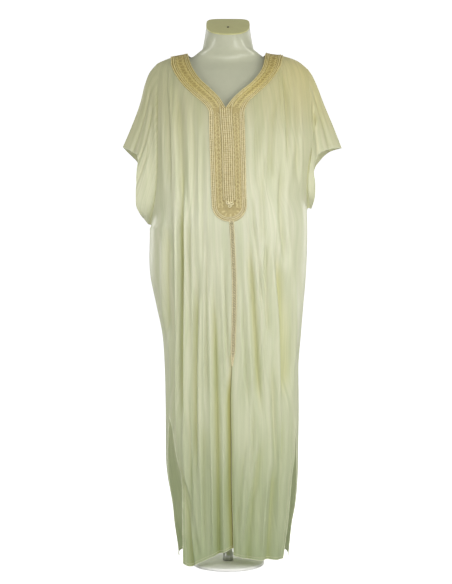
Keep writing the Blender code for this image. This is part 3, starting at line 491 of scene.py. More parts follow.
def neck_edge(side, edge, along):
    """Inner or outer edge of the front band, from the V's point up to the shoulder seam."""
    x = look(NECKLINE, "along", f"{side}_{edge}_x", along)
    z = look(NECKLINE, "along", f"{side}_{edge}_z", along)
    return x, np.minimum(z, ridge_z(side, x))


def back_neck_edge(side, edge, along):
    """Edge of the band behind the neck: a quarter turn from the middle to the shoulder."""
    x_end = float(neck_edge(side, edge, 1.0)[0])
    low = BACK_NECK_Z if edge == "in" else BACK_BAND_Z
    turn = np.asarray(along, float) * np.pi / 2
    x = ring_middle(low) + (x_end - ring_middle(low)) * np.sin(turn)
    return x, low + (ridge_z(side, x_end) - low) * (1 - np.cos(turn))


def share_of(side, face, x, z):
    """The share of the way to the edge that a place seen from the front has."""
    reach, left_over = edge_of(side, face, z)
    power = SECTION_POWER
    middle = middle_of(face, z)
    angle_end = np.arccos(np.abs(left_over)**(power / 2))
    gap = half_gap(z) if face == "front" else 0.0
    part = (SIDE[side] * (x - middle) - gap) / (reach - SIDE[side] * middle - gap)
    across = np.clip(part, 0, 1) * np.sin(angle_end)**(2 / power)
    return np.arcsin(np.clip(across**(power / 2), 0, 1)) / angle_end


def top_height(side, face, share):
    """Height of the piece's top edge, neckline then shoulder seam, at each share."""
    edge = neck_edge if face == "front" else back_neck_edge
    x, z = edge(side, "in", np.linspace(0.0, 1.0, 400))
    shoulder = np.linspace(x[-1], SIDE[side] * SHOULDER_X[side], 200)[1:]
    x, z = np.append(x, shoulder), np.append(z, ridge_z(side, shoulder))
    places = share_of(side, face, x, z)
    places[0], places[-1] = 0.0, 1.0
    return np.interp(share, places, z)


# %% [markdown]
# ## Fronts and back
# One grid covers each front: columns keep their share of the width from the neckline or
# shoulder to the hem, and rows crowd together near the shoulder, where the surface turns
# over. The centre and side edges are then true edges of the grid, with no trimming.

# %% Front and back cloth
ROWS = 300
FRONT_COLUMNS = 132
BACK_COLUMNS = 112      # on each side of the middle
ROW_EASE = 0.08
SHADED = 0.0125         # width of the shaded strip beside the centre opening
TURNED_IN = 0.0022      # how far the centre edges are folded back
OUT_FROM_AXIS = np.array((1.0, 1.0, 0.0))


def row_steps():
    """Steps from 0 to 1 that start small: (sqrt(u^2 + e^2) - e), scaled to end at 1."""
    u = np.linspace(0.0, 1.0, ROWS)
    return (np.sqrt(u * u + ROW_EASE**2) - ROW_EASE) / (np.sqrt(1 + ROW_EASE**2) - ROW_EASE)


def body_grid(side, face, columns):
    """Share, height and hem height of every point of one side of a front or back."""
    share = np.linspace(0.0, 1.0, columns)
    top = top_height(side, face, share)
    hem = look(HEM, "share", side if face == "front" else "back", share)
    z = mix(top[None, :], hem[None, :], row_steps()[:, None])
    return np.broadcast_to(share, z.shape), z, np.broadcast_to(hem, z.shape)


def free_edge(centre, hem, side_edge, z):
    """The path of a piece's free edge: up its first edge's start, along the hem, up its side."""
    return np.concatenate((centre, hem, side_edge[z[:, -1] < SLIT_Z][::-1]))


cloths, edges = {}, {}
for side in SIDE:
    share, z, hem = body_grid(side, "front", FRONT_COLUMNS)
    points, depth = pressed(side, "front", share, z)
    reach = lengths(points, 1)
    # painted shade beside the left front's centre edge, strongest at the edge
    shaded = np.clip(1.0 - reach / SHADED, 0.0, 1.0) * (z < BRAID_END + 0.030) * (side == "left")
    # the fold depth also drives the painted shade in the folds
    marks = {"fold": depth, "hem": z - hem, "slit": np.where(z < SLIT_Z, reach[:, -1:] - reach, 1.0),
             "opening": shaded}
    cloths["front_" + side] = cloth(f"front_{side}_cloth", points, points * OUT_FROM_AXIS, marks)
    turned_in = points[z[:, 0] < BRAID_END, 0] + np.array((0.0, TURNED_IN, 0.0))
    edges["front_" + side] = free_edge(turned_in, points[-1], points[:, -1], z)

halves = []
for side in SIDE:
    share, z, hem = body_grid(side, "back", BACK_COLUMNS)
    halves.append((*pressed(side, "back", share, z), z, hem))
halves = [np.concatenate((left[:, :0:-1], right), axis=1) for left, right in zip(*halves)]
points, depth, z, hem = halves
reach = lengths(points, 1)
edge_near = np.minimum(reach, reach[:, -1:] - reach)
# the fold depth also drives the painted shade in the folds
marks = {"fold": depth, "hem": z - hem, "slit": np.where(z < SLIT_Z, edge_near, 1.0)}
cloths["back"] = cloth("back_cloth", points, points * OUT_FROM_AXIS, marks)
edges["back"] = free_edge(points[z[:, 0] < SLIT_Z, 0], points[-1], points[:, -1], z)
print("cloth bodies:", {name: len(made.data.polygons) for name, made in cloths.items()})

# %% [markdown]
# ## Sleeves
# Each sleeve is a short wide tube, from the armhole seam out to the mouth. The first table
# gives the mouth, from its top down to the underarm, and the next ones the line of the top,
# how far the sleeve is drawn in near the seam, and its creases.

# %% Sleeve tables
MOUTH = {
    "left": table(
        "down front_x front_y front_z back_x back_y back_z",
        (0.00, 0.2910, 0.000, 1.1520, 0.2910, 0.000, 1.1520),
        (0.14, 0.2660, 0.026, 1.1370, 0.2710, 0.024, 1.1310),
        (0.28, 0.2460, 0.046, 1.1190, 0.2530, 0.045, 1.1120),
        (0.50, 0.2500, 0.052, 1.0500, 0.2480, 0.052, 1.0480),
        (0.76, 0.2505, 0.046, 0.9900, 0.2450, 0.046, 0.9900),
        (0.90, 0.2420, 0.026, 0.9660, 0.2400, 0.026, 0.9660),
        (1.00, 0.2350, 0.000, 0.9550, 0.2350, 0.000, 0.9550)),
    "right": table(
        "down front_x front_y front_z back_x back_y back_z",
        (0.00, 0.3150, 0.000, 1.1490, 0.3150, 0.000, 1.1490),
        (0.14, 0.2840, 0.022, 1.1450, 0.2860, 0.022, 1.1420),
        (0.32, 0.2480, 0.045, 1.1260, 0.2605, 0.042, 1.1220),
        (0.48, 0.2335, 0.060, 1.0850, 0.2400, 0.056, 1.0850),
        (0.70, 0.2370, 0.052, 1.0300, 0.2350, 0.052, 1.0300),
        (0.86, 0.2355, 0.034, 1.0020, 0.2350, 0.034, 1.0030),
        (1.00, 0.2300, 0.000, 0.9800, 0.2300, 0.000, 0.9800)),
}
SLEEVE_TOP = table(
    "out left_x left_z right_x right_z",
    (0.00, 0.1970, 1.3815, 0.2220, 1.3660), (0.12, 0.2160, 1.3594, 0.2330, 1.3500),
    (0.28, 0.2300, 1.3260, 0.2470, 1.3200), (0.50, 0.2440, 1.2710, 0.2660, 1.2700),
    (0.75, 0.2640, 1.2160, 0.2910, 1.2100), (1.00, 0.2910, 1.1520, 0.3150, 1.1490))
SET_BACK = table(
    "down left right",
    (0.00, 0.000, 0.000), (0.15, 0.003, 0.006), (0.30, 0.006, 0.012), (0.48, 0.006, 0.002),
    (0.80, 0.005, 0.000), (1.00, 0.000, 0.000))
# creases on the sleeve: place round it (0 top, + front, - back) where each starts and ends
SLEEVE_CREASES = table(
    "begin end at_seam at_mouth depth width",
    (0.05, 1.00, 0.10, 0.16, 0.0030, 0.030),
    (0.10, 0.90, 0.22, 0.34, 0.0035, 0.035),
    (0.25, 1.00, 0.36, 0.52, 0.0028, 0.040),
    (0.05, 0.95, -0.12, -0.15, 0.0032, 0.035),
    (0.15, 1.00, -0.26, -0.40, 0.0034, 0.040),
    (0.30, 1.00, -0.50, -0.62, 0.0026, 0.045))

# %% [markdown]
# Rings of points are mixed from the armhole's to the mouth's, and a lift along the top line
# rounds the shoulder. A groove just outside the armhole is the seam, which pulls the cloth in.

# %% Sleeve cloth
SLEEVE_DOWN = 110       # from the top to the underarm, on each face
SLEEVE_OUT = 64
SEAM_GROOVE, GROOVE_AT, GROOVE_HALF = 0.0050, 0.0065, 0.0045


def sleeve_points(side):
    """Rings from the armhole to the mouth: seam and mouth mixed, lifted along the top line."""
    down = np.linspace(0.0, 1.0, SLEEVE_DOWN)
    out = np.linspace(0.0, 1.0, SLEEVE_OUT)[:, None]
    sign, mouth = SIDE[side], MOUTH[side]
    top = np.stack((sign * look(SLEEVE_TOP, "out", side + "_x", out[:, 0]), np.zeros(SLEEVE_OUT),
                    look(SLEEVE_TOP, "out", side + "_z", out[:, 0])), axis=-1)
    lift = top - mix(top[:1], top[-1:], out)
    seam_z = mix(SHOULDER_Z[side], ARMPIT_Z[side], down)
    faces = {}
    for face, facing in (("front", -1.0), ("back", 1.0)):
        seam = draped(side, face, 1.0, seam_z)
        end = np.stack((sign * look(mouth, "down", face + "_x", down),
                        facing * look(mouth, "down", face + "_y", down),
                        look(mouth, "down", face + "_z", down)), axis=-1)
        grid = mix(seam[None], end[None], out[..., None])
        grid += lift[:, None, :] * ((1 - down)**2)[None, :, None]
        set_back = look(SET_BACK, "down", side, down)
        grid[..., 1] -= facing * set_back * np.sin(np.pi * np.minimum(1.0, out / 0.5))
        faces[face] = grid
    place = np.concatenate((down, -down[-2:0:-1]))
    return np.concatenate((faces["front"], faces["back"][:, -2:0:-1]), axis=1), place, out


def sleeve_cloth(side):
    """The sleeve's rings with its creases pressed in along the surface's normals."""
    points, place, out = sleeve_points(side)
    outward = points - points.mean(axis=(0, 1))
    looped = np.concatenate((points[:, -1:], points, points[:, :1]), axis=1)
    normals = grid_normals(looped)[:, 1:-1]
    if not faced(points, outward):
        normals = -normals
    depth = np.zeros(points.shape[:2])
    for k in range(len(SLEEVE_CREASES["depth"])):
        begin, end, at_seam, at_mouth, deep, wide = (SLEEVE_CREASES[name][k] for name in (
            "begin", "end", "at_seam", "at_mouth", "depth", "width"))
        line = mix(at_seam, at_mouth, out)
        fade = smooth((out - begin) / 0.25) * smooth((end + 0.25 - out) / 0.25)
        depth += deep * np.exp(-((place[None, :] - line) / wide)**2) * fade
    along = lengths(points, 0)
    groove = SEAM_GROOVE * np.exp(-((along - GROOVE_AT) / GROOVE_HALF)**2)
    groove = groove * smooth((np.abs(place) - 0.08) / 0.20)
    depth = depth * smooth(out / 0.1) + groove
    depth[0] = 0.0
    points = points - normals * depth[..., None]
    along = lengths(points, 0)
    # the crease depth, half as much again, drives the painted shade in the creases and seam groove
    marks = {"fold": depth * 1.5, "hem": along[-1:] - along, "slit": np.ones_like(along)}
    edges["sleeve_" + side] = np.concatenate((points[-1], points[-1, :1]))
    return cloth(f"sleeve_{side}_cloth", points, outward, marks, closed=True)


for side in SIDE:
    cloths["sleeve_" + side] = sleeve_cloth(side)
print("sleeves made:", [name for name in cloths if name.startswith("sleeve")])

# %% [markdown]
# ## Embroidered trim
# The band and the panel are stiffened fabric, sewn flat on the robe, so they follow its
# surface a little above it. A place on them is given as seen from the front, x and z; its
# depth comes from the draped surface, and the lift is along the surface's normal, found from
# the surface's slope.

# %% Placing things on the robe
def depth_at(face, x, z):
    """Depth of the front or back at places seen from the front, from whichever half lies there."""
    left, right = (draped(side, face, share_of(side, face, x, z), z)[..., 1] for side in SIDE)
    return np.where(x < middle_of(face, z), left, right)


def on_robe(face, x, z, lift):
    """Points at x, z on the front or back, and normals (slope in x, -1, slope in z), lifted."""
    x, z = np.broadcast_arrays(np.asarray(x, float), np.asarray(z, float))
    facing = -1.0 if face == "front" else 1.0
    step = 0.0006
    y = depth_at(face, x, z)
    in_x = (depth_at(face, x + step, z) - depth_at(face, x - step, z)) / (2 * step)
    in_z = (y - depth_at(face, x, z - step)) / step
    normals = np.stack((-facing * in_x, np.full(x.shape, facing), -facing * in_z), axis=-1)
    normals /= np.linalg.norm(normals, axis=-1)[..., None]
    points = np.stack((x, y, z), axis=-1) + normals * np.asarray(lift)[..., None]
    return points, normals


TRIM_LIFT = 0.0013      # outer face of the band above the robe's cloth
STRIP_LIFT = 0.0030
THICK, STRIP_THICK = 0.001, 0.0012


def eased(count):
    """Steps from 0 to 1 that crowd towards 1: 1 - (1 - u)^2, mixed with even ones."""
    u = np.linspace(0.0, 1.0, count)
    return mix(u, 1 - (1 - u)**2, 0.8)


def band_place(face, side, along, across):
    """x and z on the band: along it from the middle, across it from neck (0) to outside (1)."""
    edge = neck_edge if face == "front" else back_neck_edge
    in_x, in_z = edge(side, "in", along)
    out_x, out_z = edge(side, "out", along)
    x, z = mix(in_x, out_x, across), mix(in_z, out_z, across)
    return x, np.minimum(z, ridge_z(side, x) - 0.00002)


# %% [markdown]
# The front bands run from the V's point to the shoulder seams, and the back band is one piece
# between them. The panel and the strip lie over the centre front.

# %% Band, panel and strip
trims = {}
across = np.linspace(0.0, 1.0, 28)[None, :]
for side in SIDE:
    x, z = band_place("front", side, eased(130)[:, None], across)
    points, normals = on_robe("front", x, z, TRIM_LIFT)
    trims["neck_band_" + side] = cloth(f"neck_band_{side}_cloth", points, normals, thick=THICK)

halves = [on_robe("back", *band_place("back", side, eased(110)[:, None], across), TRIM_LIFT) for side in SIDE]
points, normals = (np.concatenate((left[:0:-1], right)) for left, right in zip(*halves))
trims["neck_band_back"] = cloth("neck_band_back_cloth", points, normals, thick=THICK)


def panel_place(down, across):
    """x and z on the panel: down from the neck to the round end, across from side to side."""
    half = np.abs(across)
    below = np.clip(down, 0.0, 1.0)
    side_z = mix(1.2320, PANEL_END + PANEL_ROUND, below)
    top_z = mix(1.2400, 1.2320, half) + 0.006 * np.sin(np.pi * half)
    middle_z = PANEL_END + PANEL_ROUND * (1 - np.sqrt(np.clip(1 - half**2, 0, 1)))
    z = mix(top_z, mix(mix(1.2400, PANEL_END, below), middle_z, smooth(below)), below)
    left, right = look(PANEL_SIDES, "z", "left", side_z), look(PANEL_SIDES, "z", "right", side_z)
    middle = centre_front(z)
    x = middle + np.where(across < 0, (middle - left) * across, (right - middle) * across)
    return x, z


half = np.sin(np.linspace(-1.0, 1.0, 65) * np.pi / 2)[None, :]
x, z = panel_place(np.linspace(0.0, 1.0, 190)[:, None], half)
points, normals = on_robe("front", x, z, TRIM_LIFT - 0.0003)
trims["placket_panel"] = cloth("placket_panel_cloth", points, normals, thick=THICK)

STRIP_TOP, STRIP_POINT, STRIP_END, STRIP_HALF = 1.2385, 0.979, 0.992, 0.0155
half = np.linspace(-1.0, 1.0, 25)[None, :]
down = np.linspace(0.0, 1.0, 150)[:, None]
z = mix(STRIP_TOP - 0.004 * np.abs(half), mix(STRIP_POINT, STRIP_END, np.abs(half)), down)
points, normals = on_robe("front", centre_front(z) + half * STRIP_HALF, z, STRIP_LIFT)
trims["placket_strip"] = cloth("placket_strip_cloth", points, normals, thick=STRIP_THICK)
print("trim pieces:", list(trims))

# %% [markdown]
# ## Cords and stitches
# The relief of such embroidery is made of couched cords: thin twisted cords laid in lines and
# held with stitches. A cord is a circle carried along a path, with two lobes that turn as it
# goes, or beads where loops of thread are pulled tight at even steps.

# %% Cord helper
CORD_SIDES = 8
CORD_CAP = np.array(((0, 1, 2, 3), (0, 3, 4, 5), (0, 5, 6, 7)))     # quads that close an end


def cord_mesh(path, normals, radius, pitch, bead=0.0):
    """A tube along a path, of radius (1 + 0.16 cos 2(a - turn / 2)) or, beaded, (1 + bead cos turn).

    turn is 2 pi length / pitch."""
    tangent = np.gradient(path, axis=0)
    tangent /= np.linalg.norm(tangent, axis=1)[:, None]
    beside = np.cross(tangent, normals)
    beside /= np.linalg.norm(beside, axis=1)[:, None]
    upward = np.cross(beside, tangent)
    length = lengths(path, 0)[:, None]
    turn = 2 * np.pi * length / pitch
    angle = np.linspace(0.0, 2 * np.pi, CORD_SIDES, endpoint=False)[None, :]
    twist = 0.0 if bead else 0.16
    size = radius * (1 + twist * np.cos(2 * (angle - turn / 2)) + bead * np.cos(turn))
    across = np.cos(angle)[..., None] * beside[:, None] + np.sin(angle)[..., None] * upward[:, None]
    points = path[:, None] + size[..., None] * across
    faces = grid_faces(len(path), CORD_SIDES, closed=True)
    last = CORD_CAP + (len(path) - 1) * CORD_SIDES
    uv = np.stack(np.broadcast_arrays(length, angle), -1)
    return points.reshape(-1, 3), np.concatenate((faces[:, ::-1], CORD_CAP, last[:, ::-1])), uv.reshape(-1, 2)


def join_meshes(name, parts):
    """Several (points, faces, uv) as one object."""
    points, faces, uvs = zip(*parts)
    offsets = np.cumsum([0] + [len(part) for part in points[:-1]])
    faces = [part + offset for part, offset in zip(faces, offsets)]
    return put_mesh(name, np.concatenate(points), np.concatenate(faces), np.concatenate(uvs))


def evenly(step, *path):
    """The same path, one array for each coordinate, with points every step metres."""
    length = lengths(np.stack(path, axis=-1), 0)
    at = np.linspace(0.0, length[-1], max(3, int(length[-1] / step)))
    return [np.interp(at, length, line) for line in path]


def couched(face, x, z, radius, pitch, lift, bead=0.0, step=0.0008):
    """A cord laid on the robe along a line in x and z."""
    x, z = evenly(step, x, z)
    points, normals = on_robe(face, x, z, lift + 0.55 * radius)
    return cord_mesh(points, normals, radius, pitch, bead)


# %% [markdown]
# The robe's own free edges - the hems, the slits, the centre opening and the sleeves' mouths -
# are turned twice and stitched, which leaves a narrow roll of cloth along them.

# %% Rolled edges
HEM_ROLL = 0.0009       # radius of the roll


def rolled_edge(name, path):
    """A thin tube of cloth along a free edge, its points evened out to 2 mm apart."""
    path = np.stack(evenly(0.002, *path.T), axis=-1)
    return join_meshes(f"{name}_rolled_edge", [cord_mesh(path, path * OUT_FROM_AXIS, HEM_ROLL, 0.006, 0.12)])


hems = {name: rolled_edge(name, path) for name, path in edges.items()}
print("rolled edges:", list(hems))

# %% [markdown]
# Three cords follow the outer edge of band and panel in one line from shoulder to shoulder, and
# others the inner edge, from the shoulder down to the strip. Corners are eased, because a cord
# can't turn sharply.

# %% Cord lines
PIPE = 0.00105          # radius of a plain couched cord
BEAD = 0.00150          # radius of a beaded one
TWIST_PITCH = 0.0026
BEAD_PITCH = 0.0048
BAND_WIDE = 0.047


def rounded(x, z, step=0.0008, reach=0.005):
    """The line with its corners eased: each point becomes the mean of its neighbours."""
    x, z = evenly(step, x, z)
    count = int(reach / step)
    kernel = np.ones(2 * count + 1) / (2 * count + 1)
    held = [np.concatenate((2 * line[0] - line[count:0:-1], line, 2 * line[-1] - line[-2:-count - 2:-1]))
            for line in (x, z)]
    return [np.convolve(line, kernel, "valid") for line in held]


def panel_line(inset):
    """A U: down the left side, half an ellipse round the end, and up the right side."""
    z = np.linspace(1.2280, PANEL_END + PANEL_ROUND, 160)
    left, right = look(PANEL_SIDES, "z", "left", z) + inset, look(PANEL_SIDES, "z", "right", z) - inset
    turn = np.linspace(0.0, np.pi, 120)[1:-1]
    middle, half = (left[-1] + right[-1]) / 2, (right[-1] - left[-1]) / 2
    round_x = middle - half * np.cos(turn)
    round_z = z[-1] - (PANEL_ROUND - inset) * np.sin(turn)
    return np.concatenate((left, round_x, right[::-1])), np.concatenate((z, round_z, z[::-1]))


def outer_line(inset):
    """One cord from the left shoulder, down and round the panel, to the right shoulder."""
    along = eased(300)[::-1]
    left, right = (band_place("front", side, along, 1 - inset / BAND_WIDE) for side in SIDE)
    x, z = panel_line(inset)
    return rounded(np.concatenate((left[0][:-6], x, right[0][:-6][::-1])),
                   np.concatenate((left[1][:-6], z, right[1][:-6][::-1])))


def inner_line(side, inset, offset):
    """One cord from the shoulder, down the band's inner edge and on down the strip's side."""
    x, z = band_place("front", side, eased(300)[::-1][:-14], inset / BAND_WIDE)
    down = np.linspace(1.2200, mix(STRIP_POINT, STRIP_END, offset / STRIP_HALF) + 0.002, 120)
    return rounded(np.append(x, centre_front(down) + SIDE[side] * offset), np.append(z, down), reach=0.007)


# %% Cords of the band, the panel and the strip
STRIP_CORD_TOP = 1.2370
OUTER_LINES = ((0.0017, BEAD, BEAD_PITCH, 0.45), (0.0068, BEAD, BEAD_PITCH, 0.45),
               (0.0112, PIPE, TWIST_PITCH, 0.0))
TRIM_SEAM = 1.2360      # where a cord passes from the band to the panel
band_cords = {"left": [], "right": [], "back": []}
panel_cords, strip_cords = [], []
for inset, radius, pitch, bead in OUTER_LINES:
    x, z = outer_line(inset)
    low = np.flatnonzero(z < TRIM_SEAM)
    panel_cords.append(couched("front", x[low], z[low], radius, pitch, TRIM_LIFT, bead))
    for side, part in (("left", slice(0, low[0] + 1)), ("right", slice(low[-1], None))):
        band_cords[side].append(couched("front", x[part], z[part], radius * 0.85, pitch, TRIM_LIFT,
                                        bead * 0.8))
for side in SIDE:
    for inset in (0.0017, 0.0062):
        x, z = band_place("front", side, eased(300), inset / BAND_WIDE)
        band_cords[side].append(couched("front", x, z, PIPE, TWIST_PITCH, TRIM_LIFT))
    x, z = inner_line(side, 0.0100, 0.0140)
    low = np.flatnonzero(z < TRIM_SEAM)
    strip_cords.append(couched("front", x[low], z[low], PIPE, TWIST_PITCH, STRIP_LIFT))
    high = slice(0, low[0] + 1)
    band_cords[side].append(couched("front", x[high], z[high], PIPE, TWIST_PITCH, TRIM_LIFT))
    for inset in (0.0017, 0.0062, 0.0388, 0.0433):
        x, z = band_place("back", side, eased(300), inset / 0.045)
        band_cords["back"].append(couched("back", x, z, PIPE, TWIST_PITCH, TRIM_LIFT))

for offset in (0.0030, 0.0085):
    for sign in (-1.0, 1.0):
        z = np.linspace(STRIP_CORD_TOP, mix(STRIP_POINT, STRIP_END, offset / STRIP_HALF) + 0.002, 200)
        strip_cords.append(couched("front", centre_front(z) + sign * offset, z, BEAD * 0.9, BEAD_PITCH,
                                   STRIP_LIFT, 0.45))
turn = np.linspace(-np.pi, np.pi, 160)
for x_at, z_at, size in ((-0.0052, 0.9850, 0.0040), (0.0044, 0.9830, 0.0040), (-0.0004, 0.9765, 0.0036)):
    x = centre_front(0.98) + x_at + size * np.cos(turn)
    strip_cords.append(couched("front", x, z_at + 0.8 * size * np.sin(turn), 0.0015, 0.0030, STRIP_LIFT,
                               0.0, 0.0005))
cords = {f"neck_band_{name}": join_meshes(f"neck_band_{name}_cords", parts)
         for name, parts in band_cords.items()}
cords["placket_panel"] = join_meshes("placket_panel_cords", panel_cords)
cords["placket_strip"] = join_meshes("placket_strip_cords", strip_cords)
print("cords:", {name: len(made.data.polygons) for name, made in cords.items()})

# %% [markdown]
# ## Leaves
# Between its cords the trim is worked all over with small satin-stitch leaves along a wavy
# stem. A leaf is a few faces: a dome on a pointed oval. Hundreds of them are one mesh, made
# by adding a small grid of leaf shapes to an array of places.

# %% Leaf helper
LEAF_U, LEAF_V = 7, 5
LEAF_HIGH = 0.0009


def leaf_mesh(centres, forward, normals, long, wide):
    """Leaves: length u and width v in -1..1, half width (1 - u^2), height (1 - u^2)(1 - v^2)."""
    u = np.linspace(-1.0, 1.0, LEAF_U)[:, None] * 0.97
    v = np.linspace(-1.0, 1.0, LEAF_V)[None, :]
    reach = np.broadcast_to(u, (LEAF_U, LEAF_V)) * long / 2
    side = v * (1 - u * u) * wide / 2
    rise = (1 - u * u) * (1 - v * v) * LEAF_HIGH
    beside = np.cross(normals, forward)
    points = centres[:, None, None] + sum(
        size[None, ..., None] * way[:, None, None]
        for size, way in ((reach, forward), (side, beside), (rise, normals)))
    count = LEAF_U * LEAF_V
    faces = grid_faces(LEAF_U, LEAF_V)[None] + (np.arange(len(centres)) * count)[:, None, None]
    uv = np.stack((np.broadcast_to(reach, rise.shape), side), -1)
    uv = np.broadcast_to(uv[None], (len(centres), LEAF_U, LEAF_V, 2))
    return points.reshape(-1, 3), faces.reshape(-1, 4)[:, ::-1], uv.reshape(-1, 2)


def leaves_on(face, x, z, turn, long, wide):
    """Leaves at places x, z on the trim, each turned by an angle from +X in the plane of view."""
    points, normals = on_robe(face, x, z, TRIM_LIFT)
    way = np.stack((np.cos(turn), np.zeros_like(turn), np.sin(turn)), axis=-1)
    way -= (way * normals).sum(axis=1)[:, None] * normals
    way /= np.linalg.norm(way, axis=1)[:, None]
    if face == "back":
        way = -way
    return leaf_mesh(points, way, normals, long, wide)


def vine(face, place, count, swing, long, wide):
    """A wavy stem with a leaf on each side of every bend; place(along, off) gives x and z."""
    along = np.linspace(0.0, 1.0, 60 * count)
    x, z = place(along, swing * np.sin(np.pi * count * along))
    parts = [couched(face, x, z, 0.0006, TWIST_PITCH, TRIM_LIFT, 0.0, 0.0012)]
    at = (np.arange(count) + 0.5) / count
    for offset, lean in ((0.0, 0.8), (0.5 / count, -0.8)):
        here = np.clip(at + offset, 0.01, 0.99)
        for off in (-1.0, 1.0):
            x, z = place(here, off * swing * 0.95)
            ahead_x, ahead_z = place(here + 0.004, off * swing * 0.95)
            turn = np.arctan2(ahead_z - z, ahead_x - x) + lean * off
            parts.append(leaves_on(face, x, z, turn, long, wide))
    return parts


# %% Leaves of the band and the panel
def band_path(face, side):
    """Place on the middle of the band: along it, and off its middle line in metres."""
    def place(along, off):
        return band_place(face, side, 0.03 + 0.94 * np.asarray(along), 0.5 + off / BAND_WIDE)
    return place


def field_path(sign):
    """Place in one side field of the panel, between its border and the strip."""
    def place(along, off):
        z = mix(1.226, 0.972, np.asarray(along))
        edge = look(PANEL_SIDES, "z", "left" if sign < 0 else "right", z)
        inner = centre_front(z) + sign * STRIP_HALF
        return (edge - sign * 0.0135 + inner) / 2 + off, z
    return place


VINE = {"band": (0.0075, 0.0085, 0.0042), "field": (0.0052, 0.0078, 0.0036)}   # swing, leaf size
stitches = {}
for side in SIDE:
    parts = vine("front", band_path("front", side), 22, *VINE["band"])
    stitches["neck_band_" + side] = join_meshes(f"neck_band_{side}_leaves", parts)
parts = [part for side in SIDE for part in vine("back", band_path("back", side), 17, *VINE["band"])]
stitches["neck_band_back"] = join_meshes("neck_band_back_leaves", parts)
parts = [part for sign in (-1.0, 1.0) for part in vine("front", field_path(sign), 24, *VINE["field"])]
turn = np.radians(np.array((200.0, 235.0, 270.0, 305.0, 340.0)))
x, z = centre_front(0.96) + 0.021 * np.cos(turn), 0.968 + 0.016 * np.sin(turn)
parts.append(leaves_on("front", x, z, turn, 0.0100, 0.0050))
stitches["placket_panel"] = join_meshes("placket_panel_leaves", parts)
print("leaves:", {name: len(made.data.polygons) for name, made in stitches.items()})

# %% [markdown]
# ## The openwork braid
# A narrow braid joins the two fronts from the panel down to the knee. It is worked in the
# hand: two edge cords, and two threads that go from one to the other and back with a knot
# where they cross and a small open diamond where they part. A dark tape lies behind it as
# painted shade, so that the open diamonds read dark, and it narrows to nothing at its end.

# %% Centre braid
def braid_path(z, off):
    """Points along the opening, off its middle by a distance, and normals facing forward."""
    x = centre_front(z) + off
    y = (draped("left", "front", 0.0, z)[..., 1] + draped("right", "front", 0.0, z)[..., 1]) / 2 - 0.0018
    points = np.stack((x, y, z), axis=-1)
    normals = np.broadcast_to(np.array((0.0, -1.0, 0.0)), points.shape)
    return points, normals


BRAID_STEP = 0.0070     # from one crossing to the next
# the tape is painted shade: a dark sheet behind the open diamonds
SHADE_TAPE_BEHIND, SHADE_TAPE_THICK = 0.0030, 0.0004

z = np.linspace(PANEL_END + 0.003, BRAID_END, 900)
down, across = z[::3, None], np.linspace(-1.0, 1.0, 4)[None, :]
points, normals = braid_path(*np.broadcast_arrays(down, across * (half_gap(down) - 0.0002)))
points[..., 1] += SHADE_TAPE_BEHIND
trims["centre_braid"] = cloth("centre_braid_shade_backing", points, normals, thick=SHADE_TAPE_THICK)

phase = np.pi * z / BRAID_STEP
zigzag = (half_gap(z) - 0.0006) * (2 / np.pi) * np.arcsin(np.sin(phase) * 0.98)
parts = []
for sign in (-1.0, 1.0):
    parts.append(cord_mesh(*braid_path(z, sign * (half_gap(z) + 0.0002)), 0.0014, BEAD_PITCH, 0.22))
    points, normals = braid_path(z, sign * zigzag)
    points[:, 1] += sign * 0.0005 * np.cos(phase)
    parts.append(cord_mesh(points, normals, 0.00075, TWIST_PITCH))
parts.append(cord_mesh(*braid_path(z, 0.0 * z), 0.0010, BRAID_STEP, 0.80))
cords["centre_braid"] = join_meshes("centre_braid_cords", parts)
print("braid:", len(cords["centre_braid"].data.polygons), "faces")

# %% [markdown]
# ## The dress form and its stand
# The form is a smooth moulded torso: superellipse rings from the hips up to the neck, which is
# cut off at a slant and closed with a cap. The pole and its round foot are turned shapes, a
# profile carried round the axis.

# %% Form and stand
FORM = table(
    "z half front back power",
    (0.700, 0.108, 0.060, 0.058, 2.0), (0.704, 0.137, 0.080, 0.076, 2.1),
    (0.716, 0.150, 0.090, 0.084, 2.2), (0.780, 0.160, 0.096, 0.092, 2.2),
    (0.850, 0.158, 0.096, 0.092, 2.2), (0.930, 0.140, 0.088, 0.086, 2.2),
    (1.000, 0.126, 0.086, 0.080, 2.2), (1.070, 0.134, 0.096, 0.082, 2.2),
    (1.130, 0.148, 0.115, 0.088, 2.3), (1.180, 0.158, 0.119, 0.092, 2.4),
    (1.240, 0.168, 0.107, 0.094, 2.4), (1.290, 0.178, 0.090, 0.090, 2.3),
    (1.330, 0.183, 0.070, 0.078, 2.3), (1.355, 0.181, 0.056, 0.063, 2.1),
    (1.372, 0.174, 0.044, 0.050, 1.9), (1.384, 0.152, 0.038, 0.044, 1.65),
    (1.394, 0.120, 0.038, 0.044, 1.5), (1.401, 0.097, 0.041, 0.046, 1.6),
    (1.409, 0.086, 0.046, 0.049, 1.9), (1.420, 0.0715, 0.051, 0.052, 2.0))
NECK_TOP_HALF, NECK_TOP_FRONT, NECK_TOP_BACK = 0.0596, 0.062, 0.042
NECK_TOP_FRONT_Z, NECK_TOP_BACK_Z = 1.447, 1.5135
FORM_ROUND = 144


def oval(half, front, back, power):
    """x and y of a superellipse ring: half sgn(cos)|cos|^(2/p), and reach sgn(sin)|sin|^(2/p)."""
    turn = np.linspace(0.0, 2 * np.pi, FORM_ROUND, endpoint=False)
    cosine, sine = np.cos(turn), np.sin(turn)
    reach = np.where(sine > 0, back, front)
    return tuple(size * np.sign(part) * np.abs(part)**(2 / power)
                 for size, part in ((half, cosine), (reach, sine)))


def form_oval(z):
    """The torso's ring at a height."""
    return oval(*(look(FORM, "z", name, z) for name in ("half", "front", "back", "power")))


def slant_z(y):
    """Height of the neck's slanted top, which rises from front to back."""
    return mix(NECK_TOP_FRONT_Z, NECK_TOP_BACK_Z, (y + NECK_TOP_FRONT) / (NECK_TOP_FRONT + NECK_TOP_BACK))


